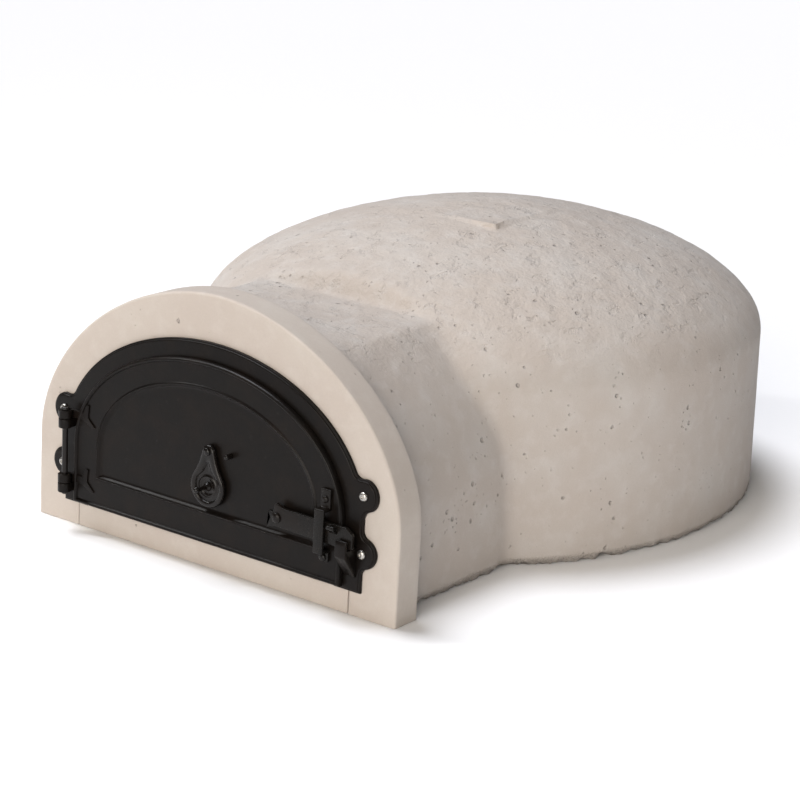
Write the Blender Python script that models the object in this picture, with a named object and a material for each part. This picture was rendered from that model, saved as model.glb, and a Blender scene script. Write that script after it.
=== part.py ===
"""Wood fired pizza oven.

A cast refractory dome with an arched neck stands on its own rim, around a hearth in two slabs. A separate
refractory arch and a low sill frame the mouth. A cast iron frame is screwed to the arch, and carries a
hinged door with a lift latch and a swinging draught damper.

Lengths are in metres. Heights are measured from the ground, and depths from the front face of the arch,
growing towards the back. The empty called front_face moves those depths so that the finished object is
centred on the origin, with the mouth facing -Y.
"""

import math

import bmesh
import bpy
from mathutils import Matrix, Vector

# ---------------------------------------------------------------- clearances and smoothness
GAP = 0.0005            # between pieces that touch
RUNNING_GAP = 0.0004    # around a pin that something turns on
PLAN_STEPS = 64         # sides of the dome's plan
ARCH_STEPS = 32         # stations along an arch

# ---------------------------------------------------------------- dome and neck
DOME_CENTRE = 0.685     # depth of the dome's middle
DOME_HALF_WIDTH = 0.4515
DOME_HALF_DEPTH = 0.514
DOME_WALL_HEIGHT = 0.265
DOME_CROWN = 0.462
DOME_DRAFT = 0.0124     # how much the wall narrows, as a share of its width
CAP_POWER = 1.23        # over 1 makes the cap rounder than an ellipse near the wall
SHELL_THICKNESS = 0.075
CAVITY_WALL_HEIGHT = 0.205
CAVITY_CROWN = 0.392
PAD_HALF_WIDTH = 0.088  # flat raised pad on the crown
PAD_HALF_DEPTH = 0.114
PAD_TOP = 0.460
NECK_FOOT_HALF_WIDTH = 0.321
NECK_HALF_WIDTH = 0.314
NECK_SPRING = 0.120
NECK_RISE = 0.287       # of the oval that the neck's flanks follow
NECK_CROWN = 0.009      # how far the neck's top rises in the middle, next to the arch
NECK_INNER_END = 0.40   # depth where the neck is lost inside the dome
LAND_HEIGHT = 0.363     # flat land on top of the neck, cut a little way into the dome
LAND_START = 0.152
LAND_END = 0.308
LAND_HALF_WIDTH = 0.165
THROAT_HALF_WIDTH = 0.262
THROAT_SPRING = 0.120
THROAT_RISE = 0.190

# ---------------------------------------------------------------- hearth
HEARTH_THICKNESS = 0.060
HEARTH_GAP = 0.001
HEARTH_EDGE_GAP = 0.004  # room left all round the oval for the shell to expand

# ---------------------------------------------------------------- arch at the mouth
ARCH_DEPTH = 0.052
ARCH_HALF_WIDTH = 0.351
ARCH_SPRING = 0.135
ARCH_RISE = 0.283
ARCH_POWER = 1.88
MOUTH_HALF_WIDTH = 0.266
MOUTH_SPRING = 0.1445
MOUTH_RISE = 0.1855

# ---------------------------------------------------------------- door frame
FRAME_BACK = -0.0005
FRAME_FRONT = -0.008
FRAME_HALF_WIDTH = 0.290
FRAME_RISE = 0.203
FRAME_INNER_HALF_WIDTH = 0.243
FRAME_INNER_RISE = 0.1555
FRAME_FOOT = 0.038      # height of the underside of the feet
FRAME_SLEEVE_DEPTH = 0.022
FRAME_SLEEVE_WALL = 0.006
FRAME_SLEEVE_CLEARANCE = 0.003
RAIL_LOW = 0.0465
RAIL_HIGH = 0.058
LUG_RADIUS = 0.023
SCREW_PLACES = {
    "frame_screw_upper_left": (-0.291, 0.185),
    "frame_screw_lower_left": (-0.292, 0.099),
    "frame_screw_upper_right": (0.291, 0.185),
    "frame_screw_lower_right": (0.292, 0.099),
}
SCREW_HEAD_RADIUS = 0.007
SCREW_SHANK_RADIUS = 0.003
SCREW_DEPTH = 0.040

# ---------------------------------------------------------------- hinge
HINGE_X = -0.271
HINGE_Y = -0.027
HINGE_PIN_RADIUS = 0.0045
HINGE_EYE_RADIUS = 0.0105
UPPER_EYE = (0.178, 0.191)
LOWER_EYE = (0.075, 0.089)
KNUCKLE_HEIGHT = 0.0145
PIN_FOOT = 0.056
STRAP_END = -0.218      # x of the points of the strap's forked end

# ---------------------------------------------------------------- door leaf
LEAF_BACK = -0.0090
LEAF_BAND = -0.0160     # front of the flat border
LEAF_BEAD = -0.0180     # front of the bead round the edge
LEAF_PANEL = -0.0130    # front of the sunk panel
LEAF_HALF_WIDTH = 0.261
LEAF_SPRING = 0.140
LEAF_RISE = 0.181
LEAF_FOOT = 0.044
BEAD_WIDTH = 0.007
PANEL_HALF_WIDTH = 0.209
PANEL_SPRING = 0.140
PANEL_RISE = 0.1377
PANEL_FOOT = 0.0966
PANEL_SLOPE = 0.004

# ---------------------------------------------------------------- latch
LATCH_PIVOT = (0.150, 0.123)
LATCH_BACK = -0.0205
LATCH_FRONT = -0.0270
LATCH_END = 0.288
LATCH_HALF_HEIGHT = 0.016
LATCH_BOLT_RADIUS = 0.0040
LATCH_BOSS_RADIUS = 0.011
GUIDE_LEFT = 0.222
GUIDE_RIGHT = 0.244
GUIDE_FOOT = 0.077
GUIDE_LOW = 0.091
GUIDE_HIGH = 0.158
GUIDE_TOP = 0.185
GUIDE_BACK = -0.0165
GUIDE_THICKNESS = 0.0045
GUIDE_REACH = -0.0350
GUIDE_BOLT_HEIGHTS = {"guide_bolt_lower": 0.083, "guide_bolt_upper": 0.170}
GUIDE_BOLT_X = 0.233
KEEPER_LEFT = 0.2645
KEEPER_RIGHT = 0.2835
KEEPER_FRONT = -0.036
KEEPER_LIP = 0.0055
KEEPER_FLOOR = 0.1065   # top of the shelf that the latch arm rests over
KEEPER_LIP_TOP = 0.121
KEEPER_FOOT = 0.062

# ---------------------------------------------------------------- damper
DAMPER_PIVOT = (0.013, 0.189)
DAMPER_CENTRE_Z = 0.135
DAMPER_RADIUS = 0.032
DAMPER_SMALL_RADIUS = 0.010
DAMPER_RIM = 0.009
DAMPER_BACK = -0.0175
DAMPER_FACE = -0.0200
DAMPER_FRONT = -0.0240
DRAUGHT_HOLE_RADIUS = 0.020
RIVET_RADIUS = 0.003
KNOB_END = -0.050
STOP_PIN_X = 0.050

# The object runs from the end of the damper's knob to the back of the dome.
FRONT_FACE_Y = -0.5 * (KNOB_END + DOME_CENTRE + DOME_HALF_DEPTH)


# ================================================================ small tools
def clear_scene():
    """Take away whatever the script starts with."""
    for thing in list(bpy.data.objects):
        bpy.data.objects.remove(thing, do_unlink=True)


def make_material(name, colour, roughness, metallic=0.0):
    """A plain shaded material in one colour."""
    material = bpy.data.materials.new(name)
    material.use_nodes = True
    shader = material.node_tree.nodes["Principled BSDF"]
    shader.inputs["Base Color"].default_value = (*colour, 1.0)
    shader.inputs["Roughness"].default_value = roughness
    shader.inputs["Metallic"].default_value = metallic
    return material


def make_pivot(name, place, parent=None):
    """An empty at a place given in depths from the arch's front face."""
    pivot = bpy.data.objects.new(name, None)
    bpy.context.collection.objects.link(pivot)
    pivot["place"] = place
    pivot.location = place
    if parent:
        pivot.parent = parent
        pivot.location = Vector(place) - Vector(parent["place"])
    return pivot


def arch_line(half_width, spring, rise, foot, power=2.0, steps=ARCH_STEPS):
    """Points (x, z) up the left side, over a rounded arch, and down the right side."""
    points = [(-half_width, foot)]
    for step in range(steps + 1):
        angle = math.pi * step / steps
        across = math.cos(angle)
        x = -math.copysign(abs(across) ** (2.0 / power), across) * half_width
        points.append((x, spring + rise * math.sin(angle) ** (2.0 / power)))
    points.append((half_width, foot))
    return points


def arc_line(centre, radius, start, end, steps):
    """Points on an arc of a circle, with angles in degrees."""
    points = []
    for step in range(steps + 1):
        angle = math.radians(start + (end - start) * step / steps)
        points.append((centre[0] + radius * math.cos(angle), centre[1] + radius * math.sin(angle)))
    return points


def at_depth(points, depth):
    """Stand a line of (x, z) points up at a depth."""
    return [(x, depth, z) for x, z in points]


def add_loft(form, loops, joined=False):
    """Skin a row of closed loops, and cap its ends or join them to each other."""
    rings = [[form.verts.new(point) for point in loop] for loop in loops]
    pairs = list(zip(rings, rings[1:]))
    if joined:
        pairs.append((rings[-1], rings[0]))
    else:
        form.faces.new(rings[0])
        form.faces.new(rings[-1])
    count = len(rings[0])
    for first, second in pairs:
        for i in range(count):
            j = (i + 1) % count
            form.faces.new((first[i], first[j], second[j], second[i]))


def add_prism(form, outline, axis, low, high):
    """Extrude an outline along one axis. The outline holds the other two coordinates in order."""
    def stand(point, level):
        first, second = point
        return {"X": (level, first, second), "Y": (first, level, second), "Z": (first, second, level)}[axis]

    face = form.faces.new([form.verts.new(stand(point, low)) for point in outline])
    grown = bmesh.ops.extrude_face_region(form, geom=[face])
    moved = [part for part in grown["geom"] if isinstance(part, bmesh.types.BMVert)]
    travel = Vector(stand((0.0, 0.0), high - low))
    bmesh.ops.translate(form, verts=moved, vec=travel)


def add_box(form, low, high):
    """A box between two corners."""
    outline = [(low[0], low[2]), (high[0], low[2]), (high[0], high[2]), (low[0], high[2])]
    add_prism(form, outline, "Y", low[1], high[1])


def add_turned(form, centre, axis, profile, segments=24):
    """A round solid: the profile is a row of (radius, position along the axis)."""
    loops = []
    for radius, level in profile:
        loop = []
        for first, second in arc_line(centre, radius, 0.0, 360.0 * (segments - 1) / segments, segments - 1):
            loop.append((first, level, second) if axis == "Y" else (first, second, level))
        loops.append(loop)
    add_loft(form, loops)


def make_piece(form, name, material, pivot, smooth=False):
    """Turn a form into a named object with its origin on a pivot."""
    bmesh.ops.recalc_face_normals(form, faces=form.faces)
    mesh = bpy.data.meshes.new(name)
    form.to_mesh(mesh)
    form.free()
    mesh.transform(Matrix.Translation(-Vector(pivot["place"])))
    if smooth:
        mesh.shade_smooth()
    piece = bpy.data.objects.new(name, mesh)
    bpy.context.collection.objects.link(piece)
    piece.parent = pivot
    if material:
        mesh.materials.append(material)
    return piece


def shape_with(piece, form, name, operation, pivot):
    """Add a form to a piece (UNION) or cut it away (DIFFERENCE)."""
    tool = make_piece(form, name, None, pivot)
    tool.hide_render = True
    tool.display_type = "WIRE"
    change = piece.modifiers.new(name, "BOOLEAN")
    change.operation = operation
    change.solver = "EXACT"
    change.object = tool


def soften(piece, width, segments=2):
    """Round the sharp edges of a piece."""
    rounding = piece.modifiers.new("rounding", "BEVEL")
    rounding.width = width
    rounding.segments = segments
    rounding.limit_method = "ANGLE"
    rounding.angle_limit = math.radians(40.0)


# ================================================================ refractory pieces
def dome_loops(half_width, half_depth, wall_height, crown, foot, steps):
    """Rings of a straight wall under a rounded cap."""
    levels = [(1.0, foot), (1.0 - DOME_DRAFT, wall_height)]
    for step in range(1, steps + 1):
        angle = math.radians(80.0) * step / steps
        scale = (1.0 - DOME_DRAFT) * math.cos(angle) ** CAP_POWER
        levels.append((scale, wall_height + (crown - wall_height) * math.sin(angle)))
    loops = []
    for scale, height in levels:
        loop = []
        for step in range(PLAN_STEPS):
            angle = 2.0 * math.pi * step / PLAN_STEPS
            x = half_width * scale * math.cos(angle)
            y = DOME_CENTRE + half_depth * scale * math.sin(angle)
            loop.append((x, y, height))
        loops.append(loop)
    return loops


def neck_loop(depth):
    """The outside of the neck at one depth: upright sides, oval flanks, and a slightly crowned top."""
    right = [(NECK_FOOT_HALF_WIDTH, 0.0)]
    top_angle = math.asin((LAND_HEIGHT - NECK_SPRING) / NECK_RISE)
    for step in range(10):
        angle = top_angle * step / 9
        right.append((NECK_HALF_WIDTH * math.cos(angle), NECK_SPRING + NECK_RISE * math.sin(angle)))
    edge = right[-1][0]
    for step in range(1, 6):
        share = 1.0 - step / 6
        right.append((edge * share, LAND_HEIGHT + NECK_CROWN * (1.0 - share ** 2)))
    crown = [(0.0, LAND_HEIGHT + NECK_CROWN)]
    left = [(-x, z) for x, z in reversed(right)]
    return at_depth(right + crown + left, depth)


def make_dome(material, pivot):
    """The cast shell: dome and neck in one piece, open underneath and at the mouth."""
    form = bmesh.new()
    add_loft(form, dome_loops(DOME_HALF_WIDTH, DOME_HALF_DEPTH, DOME_WALL_HEIGHT, DOME_CROWN, 0.0, 9))
    dome = make_piece(form, "dome_shell", material, pivot, smooth=True)

    neck = bmesh.new()
    add_loft(neck, [neck_loop(ARCH_DEPTH + GAP), neck_loop(NECK_INNER_END)])
    shape_with(dome, neck, "neck_tool", "UNION", pivot)

    land = bmesh.new()
    above = DOME_CROWN + 0.02
    climb = above - LAND_HEIGHT
    profile = [(LAND_START, LAND_HEIGHT), (LAND_END, LAND_HEIGHT), (LAND_END + 0.6 * climb, above)]
    add_prism(land, profile + [(LAND_START, above)], "X", -LAND_HALF_WIDTH, LAND_HALF_WIDTH)
    shape_with(dome, land, "land_tool", "DIFFERENCE", pivot)

    pad = bmesh.new()
    add_box(pad, (-PAD_HALF_WIDTH, DOME_CENTRE - PAD_HALF_DEPTH, CAVITY_CROWN + 0.02),
            (PAD_HALF_WIDTH, DOME_CENTRE + PAD_HALF_DEPTH, PAD_TOP))
    shape_with(dome, pad, "pad_tool", "UNION", pivot)

    cavity = bmesh.new()
    add_loft(cavity, dome_loops(DOME_HALF_WIDTH - SHELL_THICKNESS, DOME_HALF_DEPTH - SHELL_THICKNESS,
                                CAVITY_WALL_HEIGHT, CAVITY_CROWN, -0.02, 7))
    shape_with(dome, cavity, "cavity_tool", "DIFFERENCE", pivot)

    throat = bmesh.new()
    outline = arch_line(THROAT_HALF_WIDTH, THROAT_SPRING, THROAT_RISE, -0.02)
    add_prism(throat, outline, "Y", 0.0, DOME_CENTRE - 0.15)
    shape_with(dome, throat, "throat_tool", "DIFFERENCE", pivot)


def floor_arc(start, end, steps):
    """Part of the hearth's oval outline, with angles in degrees from the right."""
    half_width = DOME_HALF_WIDTH - SHELL_THICKNESS - HEARTH_EDGE_GAP
    half_depth = DOME_HALF_DEPTH - SHELL_THICKNESS - HEARTH_EDGE_GAP
    points = []
    for x, y in arc_line((0.0, 0.0), 1.0, start, end, steps):
        points.append((half_width * x, DOME_CENTRE + half_depth * y))
    return points


def make_hearth(material, pivot):
    """The cooking floor: a front slab that also fills the throat, and a rear slab."""
    throat_half_width = THROAT_HALF_WIDTH - HEARTH_GAP
    oval_half_width = DOME_HALF_WIDTH - SHELL_THICKNESS - HEARTH_EDGE_GAP
    meeting = -math.degrees(math.acos(throat_half_width / oval_half_width))
    joint = math.degrees(math.asin(HEARTH_GAP / DOME_HALF_DEPTH))

    outline = [(-throat_half_width, ARCH_DEPTH + GAP), (throat_half_width, ARCH_DEPTH + GAP)]
    outline += floor_arc(meeting, -joint, 14)
    outline += floor_arc(180.0 + joint, 180.0 - meeting, 14)
    form = bmesh.new()
    add_prism(form, outline, "Z", 0.0, HEARTH_THICKNESS)
    make_piece(form, "hearth_front_slab", material, pivot)

    form = bmesh.new()
    add_prism(form, floor_arc(joint, 180.0 - joint, 28), "Z", 0.0, HEARTH_THICKNESS)
    make_piece(form, "hearth_rear_slab", material, pivot)


def add_screw_holes(form, deepest):
    """Drills for the four frame screws."""
    radius = SCREW_SHANK_RADIUS + RUNNING_GAP
    for place in SCREW_PLACES.values():
        add_turned(form, place, "Y", [(radius, -0.02), (radius, deepest)], 16)


def make_arch(material, pivot):
    """The refractory arch with its two legs, drilled for the frame screws."""
    outer = arch_line(ARCH_HALF_WIDTH, ARCH_SPRING, ARCH_RISE, 0.0, ARCH_POWER)
    inner = arch_line(MOUTH_HALF_WIDTH, MOUTH_SPRING, MOUTH_RISE, 0.0)
    form = bmesh.new()
    add_prism(form, outer + inner[::-1], "Y", 0.0, ARCH_DEPTH)
    arch = make_piece(form, "arch_ring", material, pivot)
    soften(arch, 0.003)
    holes = bmesh.new()
    add_screw_holes(holes, SCREW_DEPTH)
    shape_with(arch, holes, "arch_hole_tool", "DIFFERENCE", pivot)


def make_sill(material, pivot):
    """The low block between the legs of the arch."""
    half_width = MOUTH_HALF_WIDTH - GAP
    form = bmesh.new()
    add_box(form, (-half_width, 0.0, 0.0), (half_width, ARCH_DEPTH, HEARTH_THICKNESS))
    sill = make_piece(form, "hearth_sill", material, pivot)
    soften(sill, 0.002)


# ================================================================ door frame and hinge
def knuckle_spans():
    """Bottom and top of each frame knuckle, just under the door's eyes."""
    return [(eye[0] - GAP - KNUCKLE_HEIGHT, eye[0] - GAP) for eye in (UPPER_EYE, LOWER_EYE)]


def make_frame(material, pivot):
    """The cast iron frame: flange, feet, sleeve, lugs, hinge knuckles and latch keeper."""
    outer = arch_line(FRAME_HALF_WIDTH, MOUTH_SPRING, FRAME_RISE, FRAME_FOOT)
    inner = arch_line(FRAME_INNER_HALF_WIDTH, MOUTH_SPRING, FRAME_INNER_RISE, FRAME_FOOT)
    form = bmesh.new()
    add_prism(form, outer + inner[::-1], "Y", FRAME_FRONT, FRAME_BACK)
    frame = make_piece(form, "door_frame", material, pivot)

    sleeve_out = FRAME_SLEEVE_CLEARANCE
    sleeve_in = sleeve_out + FRAME_SLEEVE_WALL
    sleeve_foot = HEARTH_THICKNESS + 0.002
    outer = arch_line(MOUTH_HALF_WIDTH - sleeve_out, MOUTH_SPRING, MOUTH_RISE - sleeve_out, sleeve_foot)
    inner = arch_line(MOUTH_HALF_WIDTH - sleeve_in, MOUTH_SPRING, MOUTH_RISE - sleeve_in, sleeve_foot)
    sleeve = bmesh.new()
    add_prism(sleeve, outer + inner[::-1], "Y", FRAME_FRONT + 0.003, FRAME_SLEEVE_DEPTH)
    shape_with(frame, sleeve, "sleeve_tool", "UNION", pivot)

    parts = bmesh.new()
    edge = FRAME_INNER_HALF_WIDTH + 0.01
    add_box(parts, (-edge, FRAME_FRONT + 0.001, RAIL_LOW), (edge, FRAME_BACK - 0.001, RAIL_HIGH))
    for place in SCREW_PLACES.values():
        add_turned(parts, place, "Y", [(LUG_RADIUS, FRAME_FRONT), (LUG_RADIUS, FRAME_BACK)], 40)
    shape_with(frame, parts, "lug_tool", "UNION", pivot)

    knuckles = bmesh.new()
    for low, high in knuckle_spans():
        curve = arc_line((HINGE_X, HINGE_Y), HINGE_EYE_RADIUS, 180.0, 360.0, 12)
        reach = [(HINGE_X + 0.0075, HINGE_Y + 0.006), (HINGE_X + 0.0075, -0.004)]
        heel = [(HINGE_X - HINGE_EYE_RADIUS, -0.004)]
        add_prism(knuckles, curve + reach + heel, "Z", low, high)
    shape_with(frame, knuckles, "knuckle_tool", "UNION", pivot)

    keeper = bmesh.new()
    inside = KEEPER_FRONT + KEEPER_LIP
    ramp = KEEPER_FRONT + 0.002
    profile = [(-0.004, KEEPER_FOOT), (-0.010, KEEPER_FOOT), (KEEPER_FRONT, KEEPER_FLOOR - 0.010),
               (KEEPER_FRONT, KEEPER_LIP_TOP - 0.006), (ramp, KEEPER_LIP_TOP), (inside, KEEPER_LIP_TOP),
               (inside, KEEPER_FLOOR), (-0.004, KEEPER_FLOOR)]
    add_prism(keeper, profile, "X", KEEPER_LEFT, KEEPER_RIGHT)
    shape_with(frame, keeper, "keeper_tool", "UNION", pivot)

    holes = bmesh.new()
    add_screw_holes(holes, 0.01)
    radius = HINGE_PIN_RADIUS + RUNNING_GAP
    add_turned(holes, (HINGE_X, HINGE_Y), "Z", [(radius, PIN_FOOT - 0.01), (radius, UPPER_EYE[1])], 24)
    shape_with(frame, holes, "frame_hole_tool", "DIFFERENCE", pivot)


def make_frame_screws(material, pivot):
    """Four screws: a low hexagonal head over a round shank."""
    seat = FRAME_FRONT - GAP
    for name, (x, z) in SCREW_PLACES.items():
        form = bmesh.new()
        head = SCREW_HEAD_RADIUS
        profile = [(head * 0.55, seat - 0.0042), (head, seat - 0.0026), (head, seat)]
        profile += [(SCREW_SHANK_RADIUS, seat), (SCREW_SHANK_RADIUS, SCREW_DEPTH - 0.002)]
        add_turned(form, (x, z), "Y", profile, 18)
        make_piece(form, name, material, pivot)


def make_hinge_pin(material, pivot):
    """The long rod through both knuckles and both eyes, with a small head on top."""
    top = UPPER_EYE[1] + GAP
    form = bmesh.new()
    profile = [(HINGE_PIN_RADIUS * 0.7, PIN_FOOT), (HINGE_PIN_RADIUS, PIN_FOOT + 0.0015), (HINGE_PIN_RADIUS, top)]
    profile += [(0.0070, top), (0.0070, top + 0.002), (0.0045, top + 0.004)]
    add_turned(form, (HINGE_X, HINGE_Y), "Z", profile, 24)
    make_piece(form, "hinge_pin", material, pivot, smooth=True)


# ================================================================ door
def leaf_loop(inset, depth):
    """The leaf's outline, drawn in by an inset."""
    line = arch_line(LEAF_HALF_WIDTH - inset, LEAF_SPRING, LEAF_RISE - inset, LEAF_FOOT + inset)
    return at_depth(line, depth)


def panel_loop(inset, depth):
    """The outline of the sunk panel, drawn in by an inset."""
    line = arch_line(PANEL_HALF_WIDTH - inset, PANEL_SPRING, PANEL_RISE - inset, PANEL_FOOT + inset)
    return at_depth(line, depth)


def strap_outline(centre_height, half_height):
    """A hinge strap seen from the front: a bar that ends in a three pointed fork."""
    spread = half_height + 0.011
    return [
        (HINGE_X, centre_height - half_height),
        (STRAP_END - 0.026, centre_height - half_height * 0.8),
        (STRAP_END - 0.004, centre_height - spread),
        (STRAP_END - 0.014, centre_height - half_height * 0.4),
        (STRAP_END, centre_height),
        (STRAP_END - 0.014, centre_height + half_height * 0.4),
        (STRAP_END - 0.024, centre_height + spread),
        (STRAP_END - 0.030, centre_height + half_height * 0.8),
        (HINGE_X, centre_height + half_height),
    ]


def make_leaf(material, pivot):
    """The cast door leaf: beaded edge, flat border, sunk panel, two hinge straps and the latch boss."""
    form = bmesh.new()
    add_loft(form, [
        leaf_loop(0.001, LEAF_BACK),
        leaf_loop(0.0, LEAF_BACK - 0.001),
        leaf_loop(0.0, LEAF_BEAD + 0.001),
        leaf_loop(0.001, LEAF_BEAD),
        leaf_loop(BEAD_WIDTH - 0.002, LEAF_BEAD),
        leaf_loop(BEAD_WIDTH, LEAF_BAND),
        panel_loop(0.0, LEAF_BAND),
        panel_loop(PANEL_SLOPE, LEAF_PANEL),
    ])
    leaf = make_piece(form, "door_leaf", material, pivot)

    straps = bmesh.new()
    for low, high in (UPPER_EYE, LOWER_EYE):
        add_prism(straps, strap_outline(0.5 * (low + high), 0.5 * (high - low)), "Y", -0.0205, -0.0150)
    shape_with(leaf, straps, "strap_tool", "UNION", pivot)

    eyes = bmesh.new()
    for low, high in (UPPER_EYE, LOWER_EYE):
        add_turned(eyes, (HINGE_X, HINGE_Y), "Z", [(HINGE_EYE_RADIUS, low), (HINGE_EYE_RADIUS, high)], 28)
    shape_with(leaf, eyes, "eye_tool", "UNION", pivot)

    boss = bmesh.new()
    radius = LATCH_BOSS_RADIUS
    add_turned(boss, LATCH_PIVOT, "Y", [(radius, -0.011), (radius, LATCH_BACK + GAP)], 28)
    shape_with(leaf, boss, "boss_tool", "UNION", pivot)

    holes = bmesh.new()
    hole = DRAUGHT_HOLE_RADIUS
    add_turned(holes, (DAMPER_PIVOT[0], DAMPER_CENTRE_Z), "Y", [(hole, -0.030), (hole, 0.0)], 32)
    radius = HINGE_PIN_RADIUS + RUNNING_GAP
    add_turned(holes, (HINGE_X, HINGE_Y), "Z", [(radius, PIN_FOOT - 0.01), (radius, 0.22)], 24)
    radius = LATCH_BOLT_RADIUS + RUNNING_GAP
    add_turned(holes, LATCH_PIVOT, "Y", [(radius, -0.030), (radius, 0.0)], 20)
    radius = RIVET_RADIUS + RUNNING_GAP
    places = [DAMPER_PIVOT, (STOP_PIN_X, DAMPER_PIVOT[1])]
    places += [(GUIDE_BOLT_X, height) for height in GUIDE_BOLT_HEIGHTS.values()]
    for place in places:
        add_turned(holes, place, "Y", [(radius, -0.030), (radius, 0.0)], 16)
    shape_with(leaf, holes, "leaf_hole_tool", "DIFFERENCE", pivot)


def make_headed_pin(name, place, head_radius, head_span, shank_radius, shank_end, material, pivot):
    """A pin through the leaf with a low domed head."""
    front, seat = head_span
    crown = 0.4 * (seat - front)
    form = bmesh.new()
    profile = [(head_radius * 0.5, front), (head_radius * 0.88, front + crown * 0.5)]
    profile += [(head_radius, front + crown * 1.5), (head_radius, seat)]
    profile += [(shank_radius, seat), (shank_radius, shank_end)]
    add_turned(form, place, "Y", profile, 20)
    make_piece(form, name, material, pivot, smooth=True)


def make_guide(material, pivot):
    """The strap that bridges the latch arm, and its two bolts."""
    back = GUIDE_BACK
    front = back - GUIDE_THICKNESS
    reach = GUIDE_REACH
    inside = reach + GUIDE_THICKNESS
    wall = GUIDE_THICKNESS
    profile = [
        (back, GUIDE_FOOT), (back, GUIDE_LOW + wall), (inside, GUIDE_LOW + wall),
        (inside, GUIDE_HIGH - wall), (back, GUIDE_HIGH - wall), (back, GUIDE_TOP),
        (front, GUIDE_TOP), (front, GUIDE_HIGH), (reach, GUIDE_HIGH),
        (reach, GUIDE_LOW), (front, GUIDE_LOW), (front, GUIDE_FOOT),
    ]
    form = bmesh.new()
    add_prism(form, profile, "X", GUIDE_LEFT, GUIDE_RIGHT)
    guide = make_piece(form, "latch_guide_strap", material, pivot)
    soften(guide, 0.001, 1)
    holes = bmesh.new()
    radius = RIVET_RADIUS + RUNNING_GAP
    for height in GUIDE_BOLT_HEIGHTS.values():
        add_turned(holes, (GUIDE_BOLT_X, height), "Y", [(radius, -0.030), (radius, 0.0)], 16)
    shape_with(guide, holes, "guide_hole_tool", "DIFFERENCE", pivot)
    for name, height in GUIDE_BOLT_HEIGHTS.items():
        seat = front - GAP
        make_headed_pin(name, (GUIDE_BOLT_X, height), 0.0055, (seat - 0.0035, seat), RIVET_RADIUS,
                        LEAF_BACK - 0.0005, material, pivot)


def make_latch(material, pin_material, door_pivot, latch_pivot):
    """The latch arm with its forked tail and thumb tab, and the bolt it turns on."""
    x, z = LATCH_PIVOT
    tall = LATCH_HALF_HEIGHT
    outline = [
        (x - 0.004, z - tall * 0.85), (LATCH_END - 0.022, z - tall), (LATCH_END, z - tall * 0.9),
        (LATCH_END, z + tall * 0.5), (LATCH_END - 0.012, z + tall), (x + 0.012, z + tall),
        (x - 0.003, z + tall + 0.006), (x - 0.007, z + tall * 0.45), (x - 0.017, z + tall * 0.5),
        (x - 0.012, z - tall * 0.1), (x - 0.019, z - tall - 0.003),
    ]
    form = bmesh.new()
    add_prism(form, outline, "Y", LATCH_FRONT, LATCH_BACK)
    arm = make_piece(form, "latch_arm", material, latch_pivot)
    soften(arm, 0.001, 1)
    tab = bmesh.new()
    tab_left = GUIDE_RIGHT + 0.004
    add_prism(tab, [(LATCH_FRONT + 0.002, z + 0.002), (-0.0370, z + 0.010), (-0.0370, z + 0.015),
                    (LATCH_FRONT + 0.002, z + 0.012)], "X", tab_left, tab_left + 0.013)
    shape_with(arm, tab, "tab_tool", "UNION", latch_pivot)
    hole = bmesh.new()
    radius = LATCH_BOLT_RADIUS + RUNNING_GAP
    add_turned(hole, LATCH_PIVOT, "Y", [(radius, -0.040), (radius, 0.0)], 20)
    shape_with(arm, hole, "latch_hole_tool", "DIFFERENCE", latch_pivot)
    seat = LATCH_FRONT - GAP
    make_headed_pin("latch_pivot_bolt", LATCH_PIVOT, 0.0080, (seat - 0.0045, seat), LATCH_BOLT_RADIUS,
                    LEAF_BACK - 0.0005, pin_material, door_pivot)


# ================================================================ damper
def teardrop_loop(radius, small_radius, small_height, depth):
    """A big circle below and a small one above, joined by straight flanks."""
    x = DAMPER_PIVOT[0]
    lean = math.degrees(math.asin((radius - small_radius) / (small_height - DAMPER_CENTRE_Z)))
    big = arc_line((x, DAMPER_CENTRE_Z), radius, 180.0 - lean, 360.0 + lean, 24)
    small = arc_line((x, small_height), small_radius, lean, 180.0 - lean, 8)
    return at_depth(big + small, depth)


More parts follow.
